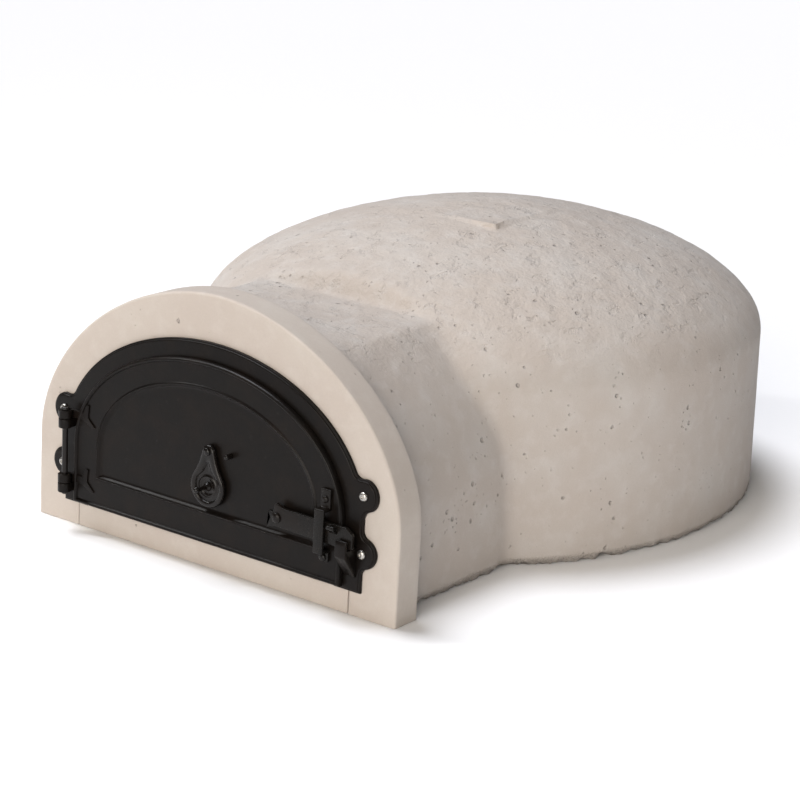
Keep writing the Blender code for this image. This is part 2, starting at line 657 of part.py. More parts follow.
def make_damper(material, pin_material, door_pivot, damper_pivot):
    """The teardrop flap with its raised rim, its knob, the rivet it hangs on and its stop pin."""
    big = DAMPER_RADIUS
    small = DAMPER_SMALL_RADIUS
    top = DAMPER_PIVOT[1]
    inner_top = top - 0.020
    form = bmesh.new()
    add_loft(form, [
        teardrop_loop(big, small, top, DAMPER_BACK),
        teardrop_loop(big, small, top, DAMPER_FRONT + 0.002),
        teardrop_loop(big - 0.002, small - 0.002, top, DAMPER_FRONT),
        teardrop_loop(big - DAMPER_RIM + 0.0015, 0.0035, inner_top, DAMPER_FRONT),
        teardrop_loop(big - DAMPER_RIM, 0.0020, inner_top, DAMPER_FACE),
    ])
    flap = make_piece(form, "damper_flap", material, damper_pivot)
    hole = bmesh.new()
    radius = RIVET_RADIUS + RUNNING_GAP
    add_turned(hole, DAMPER_PIVOT, "Y", [(radius, -0.040), (radius, 0.0)], 16)
    shape_with(flap, hole, "damper_hole_tool", "DIFFERENCE", damper_pivot)

    knob = bmesh.new()
    seat = DAMPER_FACE - GAP
    profile = [(0.0030, KNOB_END), (0.0048, KNOB_END + 0.0015), (0.0052, KNOB_END + 0.004)]
    profile += [(0.0042, KNOB_END + 0.008), (0.0032, KNOB_END + 0.014), (0.0036, seat - 0.006)]
    profile += [(0.0070, seat - 0.002), (0.0070, seat)]
    add_turned(knob, (DAMPER_PIVOT[0], DAMPER_CENTRE_Z), "Y", profile, 20)
    make_piece(knob, "damper_knob", pin_material, damper_pivot, smooth=True)

    seat = DAMPER_FRONT - GAP
    make_headed_pin("damper_rivet", DAMPER_PIVOT, 0.0060, (seat - 0.0035, seat), RIVET_RADIUS,
                    LEAF_BACK - 0.0005, pin_material, door_pivot)
    make_headed_pin("damper_stop_pin", (STOP_PIN_X, top), 0.0042, (-0.0270, LEAF_PANEL - GAP), RIVET_RADIUS,
                    LEAF_BACK - 0.0005, pin_material, door_pivot)


# ================================================================ assembly
def build():
    """Make every piece on its pivot."""
    clear_scene()
    refractory = make_material("refractory_castable", (0.56, 0.50, 0.43), 0.92)
    arch_refractory = make_material("arch_castable", (0.66, 0.56, 0.49), 0.85)
    hearth_refractory = make_material("hearth_castable", (0.52, 0.46, 0.40), 0.90)
    sill_refractory = make_material("sill_castable", (0.64, 0.56, 0.49), 0.88)
    frame_iron = make_material("frame_iron", (0.022, 0.020, 0.019), 0.50, 0.3)
    door_iron = make_material("door_iron", (0.026, 0.024, 0.022), 0.55, 0.3)
    latch_iron = make_material("latch_iron", (0.028, 0.026, 0.025), 0.45, 0.3)
    pin_iron = make_material("pin_iron", (0.035, 0.033, 0.032), 0.40, 0.4)
    screw_steel = make_material("screw_steel", (0.62, 0.62, 0.63), 0.30, 1.0)

    face = make_pivot("front_face", (0.0, 0.0, 0.0))
    face.location.y = FRONT_FACE_Y
    hinge = make_pivot("hinge_axis", (HINGE_X, HINGE_Y, 0.0), face)
    latch = make_pivot("latch_axis", (LATCH_PIVOT[0], LATCH_BACK, LATCH_PIVOT[1]), hinge)
    damper = make_pivot("damper_axis", (DAMPER_PIVOT[0], DAMPER_BACK, DAMPER_PIVOT[1]), hinge)

    make_dome(refractory, face)
    make_hearth(hearth_refractory, face)
    make_arch(arch_refractory, face)
    make_sill(sill_refractory, face)
    make_frame(frame_iron, face)
    make_frame_screws(screw_steel, face)
    make_hinge_pin(pin_iron, face)
    make_leaf(door_iron, hinge)
    make_guide(latch_iron, hinge)
    make_latch(latch_iron, pin_iron, hinge, latch)
    make_damper(door_iron, pin_iron, hinge, damper)


build()
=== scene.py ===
"""Looks of a wood fired pizza oven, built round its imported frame.

A cast refractory shell, arch, sill and hearth, with a painted cast iron frame, a hinged door, a lift latch
and a swinging draught damper. Each piece is a surface worked out from two parameters, or a section carried
along an outline, as whole arrays.

In the classes, x runs to the right, heights (z) are from the ground, and depths (y) are from the front
face of the arch, growing towards the back. build() moves the depths to the frame's own.
"""

import sys

import itertools
import logging
import math
from collections.abc import Callable
from dataclasses import dataclass, field
from enum import Enum

import bmesh
import bpy
import numpy as np
from mathutils import Matrix, Vector


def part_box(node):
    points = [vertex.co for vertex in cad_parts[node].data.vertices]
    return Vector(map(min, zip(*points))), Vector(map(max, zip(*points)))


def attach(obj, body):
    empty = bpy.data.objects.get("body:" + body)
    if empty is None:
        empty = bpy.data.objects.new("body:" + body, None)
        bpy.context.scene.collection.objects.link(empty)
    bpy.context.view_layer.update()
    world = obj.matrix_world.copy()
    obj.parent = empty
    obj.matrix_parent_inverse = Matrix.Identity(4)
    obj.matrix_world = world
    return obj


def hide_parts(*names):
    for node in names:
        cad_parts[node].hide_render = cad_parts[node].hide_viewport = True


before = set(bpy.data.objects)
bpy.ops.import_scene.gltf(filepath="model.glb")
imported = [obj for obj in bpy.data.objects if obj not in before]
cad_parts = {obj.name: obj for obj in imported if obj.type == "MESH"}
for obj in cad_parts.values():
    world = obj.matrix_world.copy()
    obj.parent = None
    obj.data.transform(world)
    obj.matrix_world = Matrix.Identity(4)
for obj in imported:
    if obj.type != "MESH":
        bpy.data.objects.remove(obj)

LOG = logging.getLogger("oven")
FRONT_FACE = float(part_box("arch_ring")[0][1])   # where depth 0 lies in the frame
HALVINGS = 26          # steps in the search for a surface
WELD = 1e-6            # points closer than this are joined
POINT = 1e-5           # radius that stands for a point on an axis
HINGE = (-0.271, -0.027)          # x and depth of the door's hinge line
LATCH_PIVOT = (0.150, 0.123)      # x and height
FLAP_PIVOT = (0.013, 0.189)
Array = np.ndarray
Distance = Callable[[Array], Array]


class Axis(Enum):
    """The direction that a section is pushed along, or that a turned piece spins about."""

    X = 0
    Y = 1
    Z = 2


# ================================================================ small sums
def smooth_step(low: float, high: float, values: Array) -> Array:
    """A soft ramp: 0 under low, 1 over high, and 3t^2 - 2t^3 between.

    Args:
        low: value where the ramp starts.
        high: value where it ends.
        values: what to ramp.

    Returns:
        Shares from 0 to 1.
    """
    t = np.clip((values - low) / (high - low), 0.0, 1.0)
    return t * t * (3.0 - 2.0 * t)


def soft_max(first: Array, second: Array, width: float) -> Array:
    """The larger of two distances, with the crease between them rounded over a width.

    Args:
        first: one distance.
        second: the other distance.
        width: how far the rounding reaches. The larger gains (w - |a - b|)^2 / 4w inside it.

    Returns:
        The rounded maximum.
    """
    near = np.maximum(width - np.abs(first - second), 0.0)
    return np.maximum(first, second) + near * near / (4.0 * width)


def soft_min(first: Array, second: Array, width: float) -> Array:
    """The smaller of two distances, with a rounded crease."""
    return -soft_max(-first, -second, width)


def cell_value(cells: Array, seed: float) -> Array:
    """A fixed number from 0 to 1 for each cell of a lattice: the fraction of a large sine."""
    value = np.sin(cells @ np.array([127.1, 311.7, 74.7]) + seed * 53.3) * 43758.5453
    return value - np.floor(value)


def lumps(points: Array, size: float, seed: float) -> Array:
    """Smooth lumps in space: each lattice corner has a fixed number, blended along the cell's edges.

    Args:
        points: places, with x, y, z last.
        size: width of a lattice cell in metres.
        seed: picks another pattern.

    Returns:
        Numbers from 0 to 1, one for each point.
    """
    spots = points / size
    base = np.floor(spots)
    share = spots - base
    share = share * share * (3.0 - 2.0 * share)
    total = np.zeros(points.shape[:-1])
    for corner in itertools.product((0.0, 1.0), repeat=3):
        step = np.array(corner)
        weight = np.prod(np.where(step > 0.5, share, 1.0 - share), axis=-1)
        total += weight * cell_value(base + step, seed)
    return total


def layered(points: Array, layers: tuple[tuple[float, float, float], ...]) -> Array:
    """The sum of several lumps, each given as its depth, width and seed."""
    return sum(depth * lumps(points, size, seed) for depth, size, seed in layers)


def halve(within: Callable[[Array], Array], shape: tuple[int, ...], low: float, high: float) -> Array:
    """Where a test stops holding between two ends, found by halving the range again and again.

    Args:
        within: says for each value whether the test still holds there.
        shape: of the array of answers.
        low: an end where it holds.
        high: an end where it doesn't.

    Returns:
        The values where it stops.
    """
    near, far = np.full(shape, low), np.full(shape, high)
    for _ in range(HALVINGS):
        middle = 0.5 * (near + far)
        held = within(middle)
        near, far = np.where(held, middle, near), np.where(held, far, middle)
    return 0.5 * (near + far)


# ================================================================ outlines in the x, z plane
def run_length(line: Array) -> Array:
    """How far along a line, or along each column of a grid, every point lies."""
    steps = np.linalg.norm(np.diff(line, axis=0), axis=-1)
    return np.concatenate([np.zeros_like(steps[:1]), np.cumsum(steps, axis=0)])


def blended(first: object, second: object, share: object) -> Array:
    """Points that lie a share of the way from a first to a second."""
    part = np.reshape(share, (-1, 1))
    return np.asarray(first, float) * (1.0 - part) + np.asarray(second, float) * part


def evenly(line: Array, count: int) -> Array:
    """The same line with its points at equal steps of its own length.

    Args:
        line: points along an open line.
        count: number of points wanted.

    Returns:
        The new points, ends included.
    """
    length = run_length(line)
    at = np.linspace(0.0, length[-1], count)
    return np.stack([np.interp(at, length, line[:, i]) for i in range(line.shape[1])], axis=1)


def arch(half_width: float, spring: float, rise: float, foot: float, power: float = 2.0,
         legs: int = 24, crown: int = 150) -> Array:
    """Up the left leg, over the crown and down the right leg.

    The crown is (-w c^(2/p), spring + rise s^(2/p)) for the cosine c and sine s of an angle from 0 to 180.

    Args:
        half_width: half the width between the legs.
        spring: height where the crown starts.
        rise: height of the crown over the spring.
        foot: height of the feet.
        power: 2 for an ellipse, less for a leaner shoulder.
        legs: points on each leg.
        crown: points on the crown.

    Returns:
        Points (x, z).
    """
    turn = np.linspace(0.0, math.pi, 1201)
    cosine, sine = np.cos(turn), np.clip(np.sin(turn), 0.0, 1.0)
    top = np.stack([-np.sign(cosine) * np.abs(cosine) ** (2.0 / power) * half_width,
                    spring + rise * sine ** (2.0 / power)], axis=1)
    climb = np.linspace(foot, spring, legs, endpoint=False)
    left = np.stack([np.full(legs, -half_width), climb], axis=1)
    right = np.stack([np.full(legs, half_width), climb[::-1]], axis=1)
    return np.concatenate([left, evenly(top, crown), right])


def close_below(line: Array, base: int) -> Array:
    """An arch made a loop by a straight run of points from its right foot to its left."""
    return np.concatenate([line, blended(line[-1], line[0], np.linspace(0.0, 1.0, base + 2)[1:-1])])


def inset(line: Array, distance: Array | float, closed: bool = True) -> Array:
    """The line moved to its right by a distance, with mitred corners.

    Each point moves along the sum of its two edges' normals over (1 + their dot product).

    Args:
        line: points (x, z), going clockwise for an inset.
        distance: how far, one number or one for each point.
        closed: whether the last point joins the first.

    Returns:
        The moved points.
    """
    ahead = np.roll(line, -1, axis=0) - line
    if not closed:
        ahead[-1] = ahead[-2]
    ahead = ahead / np.maximum(np.linalg.norm(ahead, axis=1, keepdims=True), 1e-9)
    behind = np.roll(ahead, 1, axis=0)
    if not closed:
        behind[0] = ahead[0]
    first = np.stack([ahead[:, 1], -ahead[:, 0]], axis=1)
    second = np.stack([behind[:, 1], -behind[:, 0]], axis=1)
    mitre = (first + second) / np.maximum(1.0 + np.sum(first * second, axis=1, keepdims=True), 0.35)
    return line + mitre * np.reshape(distance, (-1, 1))


def round_corners(corners: Array, reach: float | Array, steps: int = 5) -> Array:
    """A loop with each corner replaced by a parabola between two points on its edges.

    Args:
        corners: the corners in order.
        reach: how far from the corner the curve starts, at most 0.45 of the edge.
        steps: points on each curve.

    Returns:
        The loop's points.
    """
    before, after = np.roll(corners, 1, axis=0) - corners, np.roll(corners, -1, axis=0) - corners
    long_before = np.linalg.norm(before, axis=1, keepdims=True)
    long_after = np.linalg.norm(after, axis=1, keepdims=True)
    wanted = np.broadcast_to(np.reshape(reach, (-1, 1)), long_before.shape)
    start = corners + before / long_before * np.minimum(wanted, 0.45 * long_before)
    end = corners + after / long_after * np.minimum(wanted, 0.45 * long_after)
    t = np.linspace(0.0, 1.0, steps)[None, :, None]
    curve = (1 - t) ** 2 * start[:, None] + 2 * t * (1 - t) * corners[:, None] + t * t * end[:, None]
    return curve.reshape(-1, corners.shape[1])


def circle_at(centre: tuple[float, float], radius: float, angles: Array) -> Array:
    """Points on a circle at given angles."""
    return np.stack([centre[0] + radius * np.cos(angles), centre[1] + radius * np.sin(angles)], axis=1)


def angles_about(centre: tuple[float, float], line: Array) -> Array:
    """The angle of each point of a line, seen from a centre."""
    return np.arctan2(line[:, 1] - centre[1], line[:, 0] - centre[0])


def at_depth(line: Array, depth: Array | float) -> Array:
    """Points (x, z) stood up at a depth, as (x, y, z)."""
    return np.stack([line[:, 0], np.broadcast_to(depth, line[:, 0].shape), line[:, 1]], axis=1)


def quarter(radius: float, start: float, end: float, steps: int = 5) -> list[tuple[float, float]]:
    """Points (radius cos, radius sin) of an arc between two angles in degrees."""
    turn = np.radians(np.linspace(start, end, steps))
    return [(radius * math.cos(a), radius * math.sin(a)) for a in turn]


# ================================================================ meshes
@dataclass
class Patch:
    """Points on a grid of rows and columns, skinned with quads."""

    points: Array                 # rows, columns, xyz
    wrap_rows: bool = False       # the last row joins the first
    wrap_columns: bool = False    # the last column joins the first
    capped: bool = False          # a flat face closes the first and the last row

    def faces(self, start: int) -> tuple[Array, list[list[int]]]:
        """Face corners, counted from a start.

        Args:
            start: index of the patch's first point in the mesh.

        Returns:
            The quads, and the caps as lists of corners.
        """
        rows, columns = self.points.shape[:2]
        index = start + np.arange(rows * columns).reshape(rows, columns)
        if self.wrap_rows:
            index = np.concatenate([index, index[:1]])
        if self.wrap_columns:
            index = np.concatenate([index, index[:, :1]], axis=1)
        quads = np.stack([index[:-1, :-1], index[:-1, 1:], index[1:, 1:], index[1:, :-1]], axis=-1)
        caps = [index[0, :columns].tolist(), index[-1, :columns].tolist()] if self.capped else []
        return quads.reshape(-1, 4), caps


@dataclass
class Stitch:
    """A flat strip between a fine edge and a coarse one, which has one point for every few of the fine."""

    fine: Array
    coarse: Array
    share: int

    def faces(self, start: int) -> tuple[Array, list[list[int]]]:
        """One face for each step of the coarse edge, with every fine point along it.

        Args:
            start: index of the strip's first point in the mesh.

        Returns:
            No quads, and the faces as lists of corners.
        """
        count = len(self.fine)
        faces = [[start + count + step + 1, start + count + step]
                 + [start + step * self.share + i for i in range(self.share + 1)]
                 for step in range(len(self.coarse) - 1)]
        return np.zeros((0, 4), int), faces

    @property
    def points(self) -> Array:
        """Both edges' points in a row."""
        return np.concatenate([self.fine, self.coarse])


def add_object(name: str, data: bpy.types.ID) -> bpy.types.Object:
    """A new object, linked to the scene."""
    item = bpy.data.objects.new(name, data)
    bpy.context.scene.collection.objects.link(item)
    return item


def build(name: str, parts: list, sharp: float = 34.0) -> bpy.types.Object:
    """One mesh from several patches: points closer than a micron are joined, and faces turned outwards.

    Args:
        name: the piece's name.
        parts: patches and stitches, in depths from the arch's face.
        sharp: an edge that bends by more degrees than this stays crisp.

    Returns:
        The new object, at the origin.
    """
    places, quads, others, start = [], [], [], 0
    for part in parts:
        found, caps = part.faces(start)
        places.append(part.points.reshape(-1, 3))
        quads.append(found)
        others += caps
        start += len(places[-1])
    points = np.concatenate(places) + np.array([0.0, FRONT_FACE, 0.0])
    keys, first, joined = np.unique(np.round(points / WELD).astype(np.int64), axis=0,
                                    return_index=True, return_inverse=True)
    joined = joined.reshape(-1)
    quad = joined[np.concatenate(quads)]
    whole = np.all(np.diff(np.sort(quad, axis=1), axis=1) > 0, axis=1)
    thin = quad[~whole]
    halves = np.concatenate([thin[:, [0, 1, 2]], thin[:, [0, 2, 3]]])
    halves = halves[np.all(np.diff(np.sort(halves, axis=1), axis=1) > 0, axis=1)]
    rest = [list(dict.fromkeys(joined[face].tolist())) for face in others]
    faces = quad[whole].tolist() + halves.tolist() + [face for face in rest if len(face) > 2]
    mesh = bpy.data.meshes.new(name)
    mesh.from_pydata(points[first].tolist(), [], faces)
    mesh.update()
    form = bmesh.new()
    form.from_mesh(mesh)
    bmesh.ops.recalc_face_normals(form, faces=form.faces)
    form.to_mesh(mesh)
    form.free()
    mesh.polygons.foreach_set("use_smooth", np.ones(len(mesh.polygons), bool))
    mesh.set_sharp_from_angle(angle=math.radians(sharp))
    mesh.update()
    return add_object(name, mesh)


def weather(piece: bpy.types.Object, depth: float, size: float, seed: float) -> None:
    """Moves each point of a piece inwards along its normal, by a depth times smooth lumps.

    Args:
        piece: what to wear.
        depth: most that a point moves.
        size: width of a lump.
        seed: picks another pattern.
    """
    mesh = piece.data
    places = np.empty(len(mesh.vertices) * 3)
    mesh.vertices.foreach_get("co", places)
    places = places.reshape(-1, 3)
    normals = np.empty(len(mesh.vertices) * 3)
    mesh.vertex_normals.foreach_get("vector", normals)
    moved = places - normals.reshape(-1, 3) * depth * lumps(places, size, seed)[:, None]
    mesh.vertices.foreach_set("co", moved.reshape(-1))
    mesh.update()


def prism(loop: Array, axis: Axis, low: float, high: float, radius: float = 0.0008, steps: int = 4) -> Patch:
    """A loop pushed along an axis, with both rims rounded.

    At each end the loop is inset by r (1 - sin) and moved by r (1 - cos) of an angle from 0 to 90.

    Args:
        loop: outline, clockwise in its two coordinates, in the order that the axis leaves.
        axis: direction of the push.
        low: where it starts.
        high: where it ends.
        radius: of the rounded rims.
        steps: rows on each rim.

    Returns:
        The closed patch.
    """
    turn = np.linspace(0.0, math.pi / 2, steps)
    near = [(radius * (1 - math.sin(a)), low + radius * (1 - math.cos(a))) for a in turn]
    rows = near + [(inward, low + high - along) for inward, along in near[::-1]]
    moved = np.stack([inset(loop, inward) for inward, _ in rows])
    along = np.broadcast_to(np.array([place for _, place in rows])[:, None], moved.shape[:2])
    order = {Axis.X: (along, moved[..., 0], moved[..., 1]),
             Axis.Y: (moved[..., 0], along, moved[..., 1]),
             Axis.Z: (moved[..., 0], moved[..., 1], along)}
    return Patch(np.stack(order[axis], axis=-1), wrap_columns=True, capped=True)


def clockwise(loop: Array) -> Array:
    """The loop, turned round if it runs anticlockwise."""
    x, z = loop[:, 0], loop[:, 1]
    area = np.sum(x * np.roll(z, -1) - np.roll(x, -1) * z)
    return loop[::-1] if area > 0 else loop


def turned(place: tuple[float, float], axis: Axis, profile: list[tuple[float, float]], steps: int = 32,
           flats: dict[int, float] | None = None) -> Patch:
    """A profile spun about an axis.

    Args:
        place: the axis's other two coordinates.
        axis: what it spins about.
        profile: (radius, distance along the axis) from one end to the other.
        steps: points round.
        flats: rows of the profile that are hexagons, with how strongly, from 0 to 1.

    Returns:
        The patch, closed at both ends.
    """
    rows = np.array(profile, float)
    turn = np.linspace(0.0, 2 * math.pi, steps, endpoint=False)
    radius = np.repeat(rows[:, :1], steps, axis=1)
    six = math.cos(math.pi / 6) / np.cos((turn % (math.pi / 3)) - math.pi / 6)
    for row, share in (flats or {}).items():
        radius[row] *= 1.0 - share + share * six
    first, second = place[0] + radius * np.cos(turn), place[1] + radius * np.sin(turn)
    along = np.repeat(rows[:, 1:], steps, axis=1)
    order = {Axis.X: (along, first, second), Axis.Y: (first, along, second), Axis.Z: (first, second, along)}
    return Patch(np.stack(order[axis], axis=-1), wrap_columns=True, capped=True)


def dome_head(radius: float, seat: float, tall: float, shank: float, end: float) -> list[tuple[float, float]]:
    """The profile of a domed head over a shank: a quarter ellipse, a rounded rim, then the shank.

    Args:
        radius: of the head.
        seat: where the head meets what it holds.
        tall: height of the head towards the front, which is negative.
        shank: radius of the shank.
        end: where the shank ends.

    Returns:
        Profile points for turned().
    """
    turn = np.linspace(0.0, math.pi / 2, 8)
    head = [(max(radius * math.sin(a), POINT), seat - tall * (0.2 + 0.8 * math.cos(a))) for a in turn]
    return head + [(radius, seat - 0.0002), (radius - 0.0003, seat), (shank, seat), (shank, end - 0.0005),
                   (shank - 0.0005, end), (POINT, end)]


def dress(piece: bpy.types.Object, body: str, slot: str, material: bpy.types.Material, *nodes: str) -> None:
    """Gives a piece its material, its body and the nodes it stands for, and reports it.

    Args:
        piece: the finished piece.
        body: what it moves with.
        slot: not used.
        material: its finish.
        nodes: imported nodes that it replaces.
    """
    piece.data.materials.clear()
    piece.data.materials.append(material)
    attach(piece, body)
    if nodes:
        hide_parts(*nodes)
    LOG.info("%s: %d faces, on %s, %s", piece.name, len(piece.data.polygons), body, material.name)


# ================================================================ finishes
def linear(code: str) -> tuple[float, float, float, float]:
    """A colour for a shader, from its sRGB hex code."""
    parts = [int(code[i:i + 2], 16) / 255.0 for i in (0, 2, 4)]
    spread = [c / 12.92 if c <= 0.04045 else ((c + 0.055) / 1.055) ** 2.4 for c in parts]
    return (spread[0], spread[1], spread[2], 1.0)


def connect(tree: bpy.types.NodeTree, node: bpy.types.Node, inputs: dict) -> None:
    """Sets a node's inputs, or links them where the value is a pattern or a socket."""
    for name, value in inputs.items():
        value = value.socket if isinstance(value, Pattern) else value
        if isinstance(value, bpy.types.NodeSocket):
            tree.links.new(value, node.inputs[name])
        else:
            node.inputs[name].default_value = value


def add_node(tree: bpy.types.NodeTree, kind: str, inputs: dict | None = None, **settings: object) -> bpy.types.Node:
    """Adds a node with its settings, and sets or links its inputs.

    Args:
        tree: where it goes.
        kind: the node's type, without the word that all of them start with.
        inputs: values, patterns or output sockets, by input name or number.
        **settings: properties by name.

    Returns:
        The node.
    """
    node = tree.nodes.new("ShaderNode" + kind)
    for name, value in settings.items():
        setattr(node, name, value)
    connect(tree, node, inputs or {})
    return node


@dataclass(frozen=True)
class Pattern:
    """A number that varies over a surface. Arithmetic on it adds the nodes that work out the result."""

    tree: bpy.types.NodeTree
    socket: bpy.types.NodeSocket

    def step(self, operation: str, other: object, held: bool = False) -> "Pattern":
        """One step of arithmetic with another pattern or a number, held between 0 and 1 if asked."""
        node = add_node(self.tree, "Math", {0: self, 1: other}, operation=operation, use_clamp=held)
        return Pattern(self.tree, node.outputs["Value"])

    def __add__(self, other: object) -> "Pattern":
        """The sum."""
        return self.step("ADD", other)

    def __sub__(self, other: object) -> "Pattern":
        """The difference."""
        return self.step("SUBTRACT", other)

    def __mul__(self, other: object) -> "Pattern":
        """The product."""
        return self.step("MULTIPLY", other)

    def above(self, start: float, gain: float) -> "Pattern":
        """How far it lies above a start, times a gain, held between 0 and 1."""
        return (self - start).step("MULTIPLY", gain, held=True)


class Surface:
    """A new material, its nodes, its shader and its coordinates in metres."""

    def __init__(self, name: str) -> None:
        """Makes the material, with an empty shader."""
        self.material = bpy.data.materials.new(name)
        self.material.use_nodes = True
        self.tree = self.material.node_tree
        self.place = add_node(self.tree, "TexCoord").outputs["Object"]

    def noise(self, place: bpy.types.NodeSocket, width: float, detail: float = 3.0, rough: float = 0.5) -> Pattern:
        """Noise whose blotches are about a width across, in metres."""
        inputs = {"Vector": place, "Scale": 1.0 / width, "Detail": detail, "Roughness": rough}
        return Pattern(self.tree, add_node(self.tree, "TexNoise", inputs).outputs["Fac"])

    def ramp(self, low: float, high: float, start: float = 0.0, end: float = 1.0) -> Pattern:
        """A soft ramp over the height, from one value to another."""
        up = add_node(self.tree, "SeparateXYZ", {0: self.place}).outputs["Z"]
        inputs = {"Value": up, "From Min": low, "From Max": high, "To Min": start, "To Max": end}
        return Pattern(self.tree, add_node(self.tree, "MapRange", inputs, interpolation_type="SMOOTHSTEP").outputs[0])

    def moved(self, place: bpy.types.NodeSocket, **inputs: tuple[float, float, float]) -> bpy.types.NodeSocket:
        """Coordinates moved, turned or stretched."""
        return add_node(self.tree, "Mapping", {"Vector": place, **inputs}).outputs[0]

    def mix(self, share: object, first: object, second: object, how: str = "MIX") -> bpy.types.NodeSocket:
        """Two colours mixed by a share."""
        return add_node(self.tree, "Mix", {0: share, 6: first, 7: second}, data_type="RGBA", blend_type=how).outputs[2]

    def done(self, inputs: dict, height: Pattern | None = None) -> bpy.types.Material:
        """The material, with the shader's inputs, and a bump from a height in metres."""
        if height is not None:
            bump = add_node(self.tree, "Bump", {"Strength": 1.0, "Distance": 1.0, "Height": height})
            inputs = {**inputs, "Normal": bump.outputs["Normal"]}
        connect(self.tree, self.tree.nodes["Principled BSDF"], inputs)
        return self.material


@dataclass(frozen=True)
class CastRefractory:
    """Castable refractory concrete: pale, dry and sandy, with bug holes left by air against the mould."""

    name: str
    body: str = "BDB7B1"          # the cement's colour
    pale: str = "C4BFBA"          # laitance where the mould was smooth
    warm: str = "B8AFA7"          # pinker blotches
    # the next colour is painted shade: it darkens each bug hole to stand for the shade inside it
    pit_shade: str = "958D86"           # the shade inside a bug hole
    mottle: float = 0.110         # blotch width
    sand: float = 0.0022          # sand grain; real grains are about 1 mm, drawn coarse enough to show
    hole_cell: float = 0.0185     # spacing of the larger bug holes
    hole_share: float = 0.58      # share of cells with a hole
    hole_radius: float = 0.0037
    hole_depth: float = 0.0024
    pin_cell: float = 0.0085      # spacing of the pin holes
    pin_share: float = 0.46
    pin_radius: float = 0.0019
    pin_depth: float = 0.0011
    trowel: float = 0.0           # depth of trowel marks on the upper surface, and 0 for none
    trowel_from: float = 0.27     # height where they start
    crumb_depth: float = 0.0034   # of the broken rim at the ground, where there are trowel marks
    grain_depth: float = 0.00022
    roughness: float = 0.93
    seed: float = 0.0

    def holes(self, face: Surface, place: bpy.types.NodeSocket, cell: float, share: float, radius: float) -> Pattern:
        """Round holes: 1 inside, 0 outside, where a cell's number is high enough, larger as it rises.

        Args:
            face: the material in the making.
            place: coordinates in metres.
            cell: spacing of the cells.
            share: share of cells that have a hole.
            radius: largest radius.

        Returns:
            The mask.
        """
        near = add_node(face.tree, "TexVoronoi", {"Vector": place, "Scale": 1.0 / cell, "Randomness": 1.0})
        value = add_node(face.tree, "SeparateColor", {0: near.outputs["Color"]}).outputs[0]
        cluster = face.noise(place, 0.055, 3.0)
        wish = Pattern(face.tree, value) + (cluster - 0.5) * 1.25
        size = (wish - (1.0 - share)) * (radius / cell / share)
        return (size - near.outputs["Distance"]).step("DIVIDE", 0.55 * radius / cell, held=True)

    def handwork(self, face: Surface, place: bpy.types.NodeSocket, height: Pattern) -> Pattern:
        """The height with a crumbled rim at the ground and trowel marks on the upper surface.

        Args:
            face: the material in the making.
            place: coordinates in metres.
            height: the height so far.

        Returns:
            The new height.
        """
        crumbs = face.noise(place, 0.0045, 4.0, 0.7).above(0.42, 5.0)
        height = height + crumbs * face.ramp(0.002, 0.017, 1.0, 0.0) * self.crumb_depth
        dragged = face.moved(place, Rotation=(0.0, 0.0, 0.5), Scale=(1.0, 0.72, 1.0))
        marks = face.noise(dragged, 0.019, 3.0, 0.55) + face.noise(place, 0.007, 2.0) * 0.45
        # torn spots, where the trowel dragged stiff mortar: steps down with crisp sides
        marks = marks - face.noise(dragged, 0.024, 5.0, 0.62).above(0.57, 11.0) * 0.5
        return height + marks * face.ramp(self.trowel_from, self.trowel_from + 0.1) * self.trowel

    def material(self) -> bpy.types.Material:
        """Mottled colour, sand grain, two sizes of hole with painted shade in them, and trowel marks higher up."""
        face = Surface(self.name)
        place = face.moved(face.place, Location=(self.seed, 0.3, 0.1))
        # bending the coordinates a little makes the holes irregular, as burst bubbles are
        bend = add_node(face.tree, "TexNoise", {"Vector": place, "Scale": 1.0 / 0.004, "Detail": 2.0})
        bent = add_node(face.tree, "Mix", {0: 0.0034, 4: place, 5: bend.outputs["Color"]},
                        data_type="VECTOR", factor_mode="UNIFORM").outputs[1]
        big = self.holes(face, bent, self.hole_cell, self.hole_share, self.hole_radius)
        small = self.holes(face, bent, self.pin_cell, self.pin_share, self.pin_radius)
        blotch = face.noise(place, self.mottle, 4.0, 0.55)
        cloud = face.noise(place, 0.028, 4.0, 0.6)
        sand = face.noise(place, self.sand, 2.0, 0.7)
        tint = face.mix(blotch.above(0.42, 3.2), linear(self.warm), linear(self.body))
        tint = face.mix(cloud.above(0.5, 2.2), tint, linear(self.pale))
        grains = face.mix(sand, (0.55, 0.54, 0.53, 1.0), (1.0, 1.0, 1.0, 1.0))
        speckled = face.mix(0.22, tint, grains, "MULTIPLY")
        # the holes are mixed towards that darker colour, which is painted shade inside them, on top of their bump
        colour = face.mix((big * 0.55).step("MAXIMUM", small * 0.35), speckled, linear(self.pit_shade))
        height = sand * self.grain_depth + cloud * 0.0006 - big * self.hole_depth - small * self.pin_depth
        if self.trowel:
            height = self.handwork(face, place, height)
        return face.done({"Base Color": colour, "Roughness": self.roughness, "Specular IOR Level": 0.3}, height)


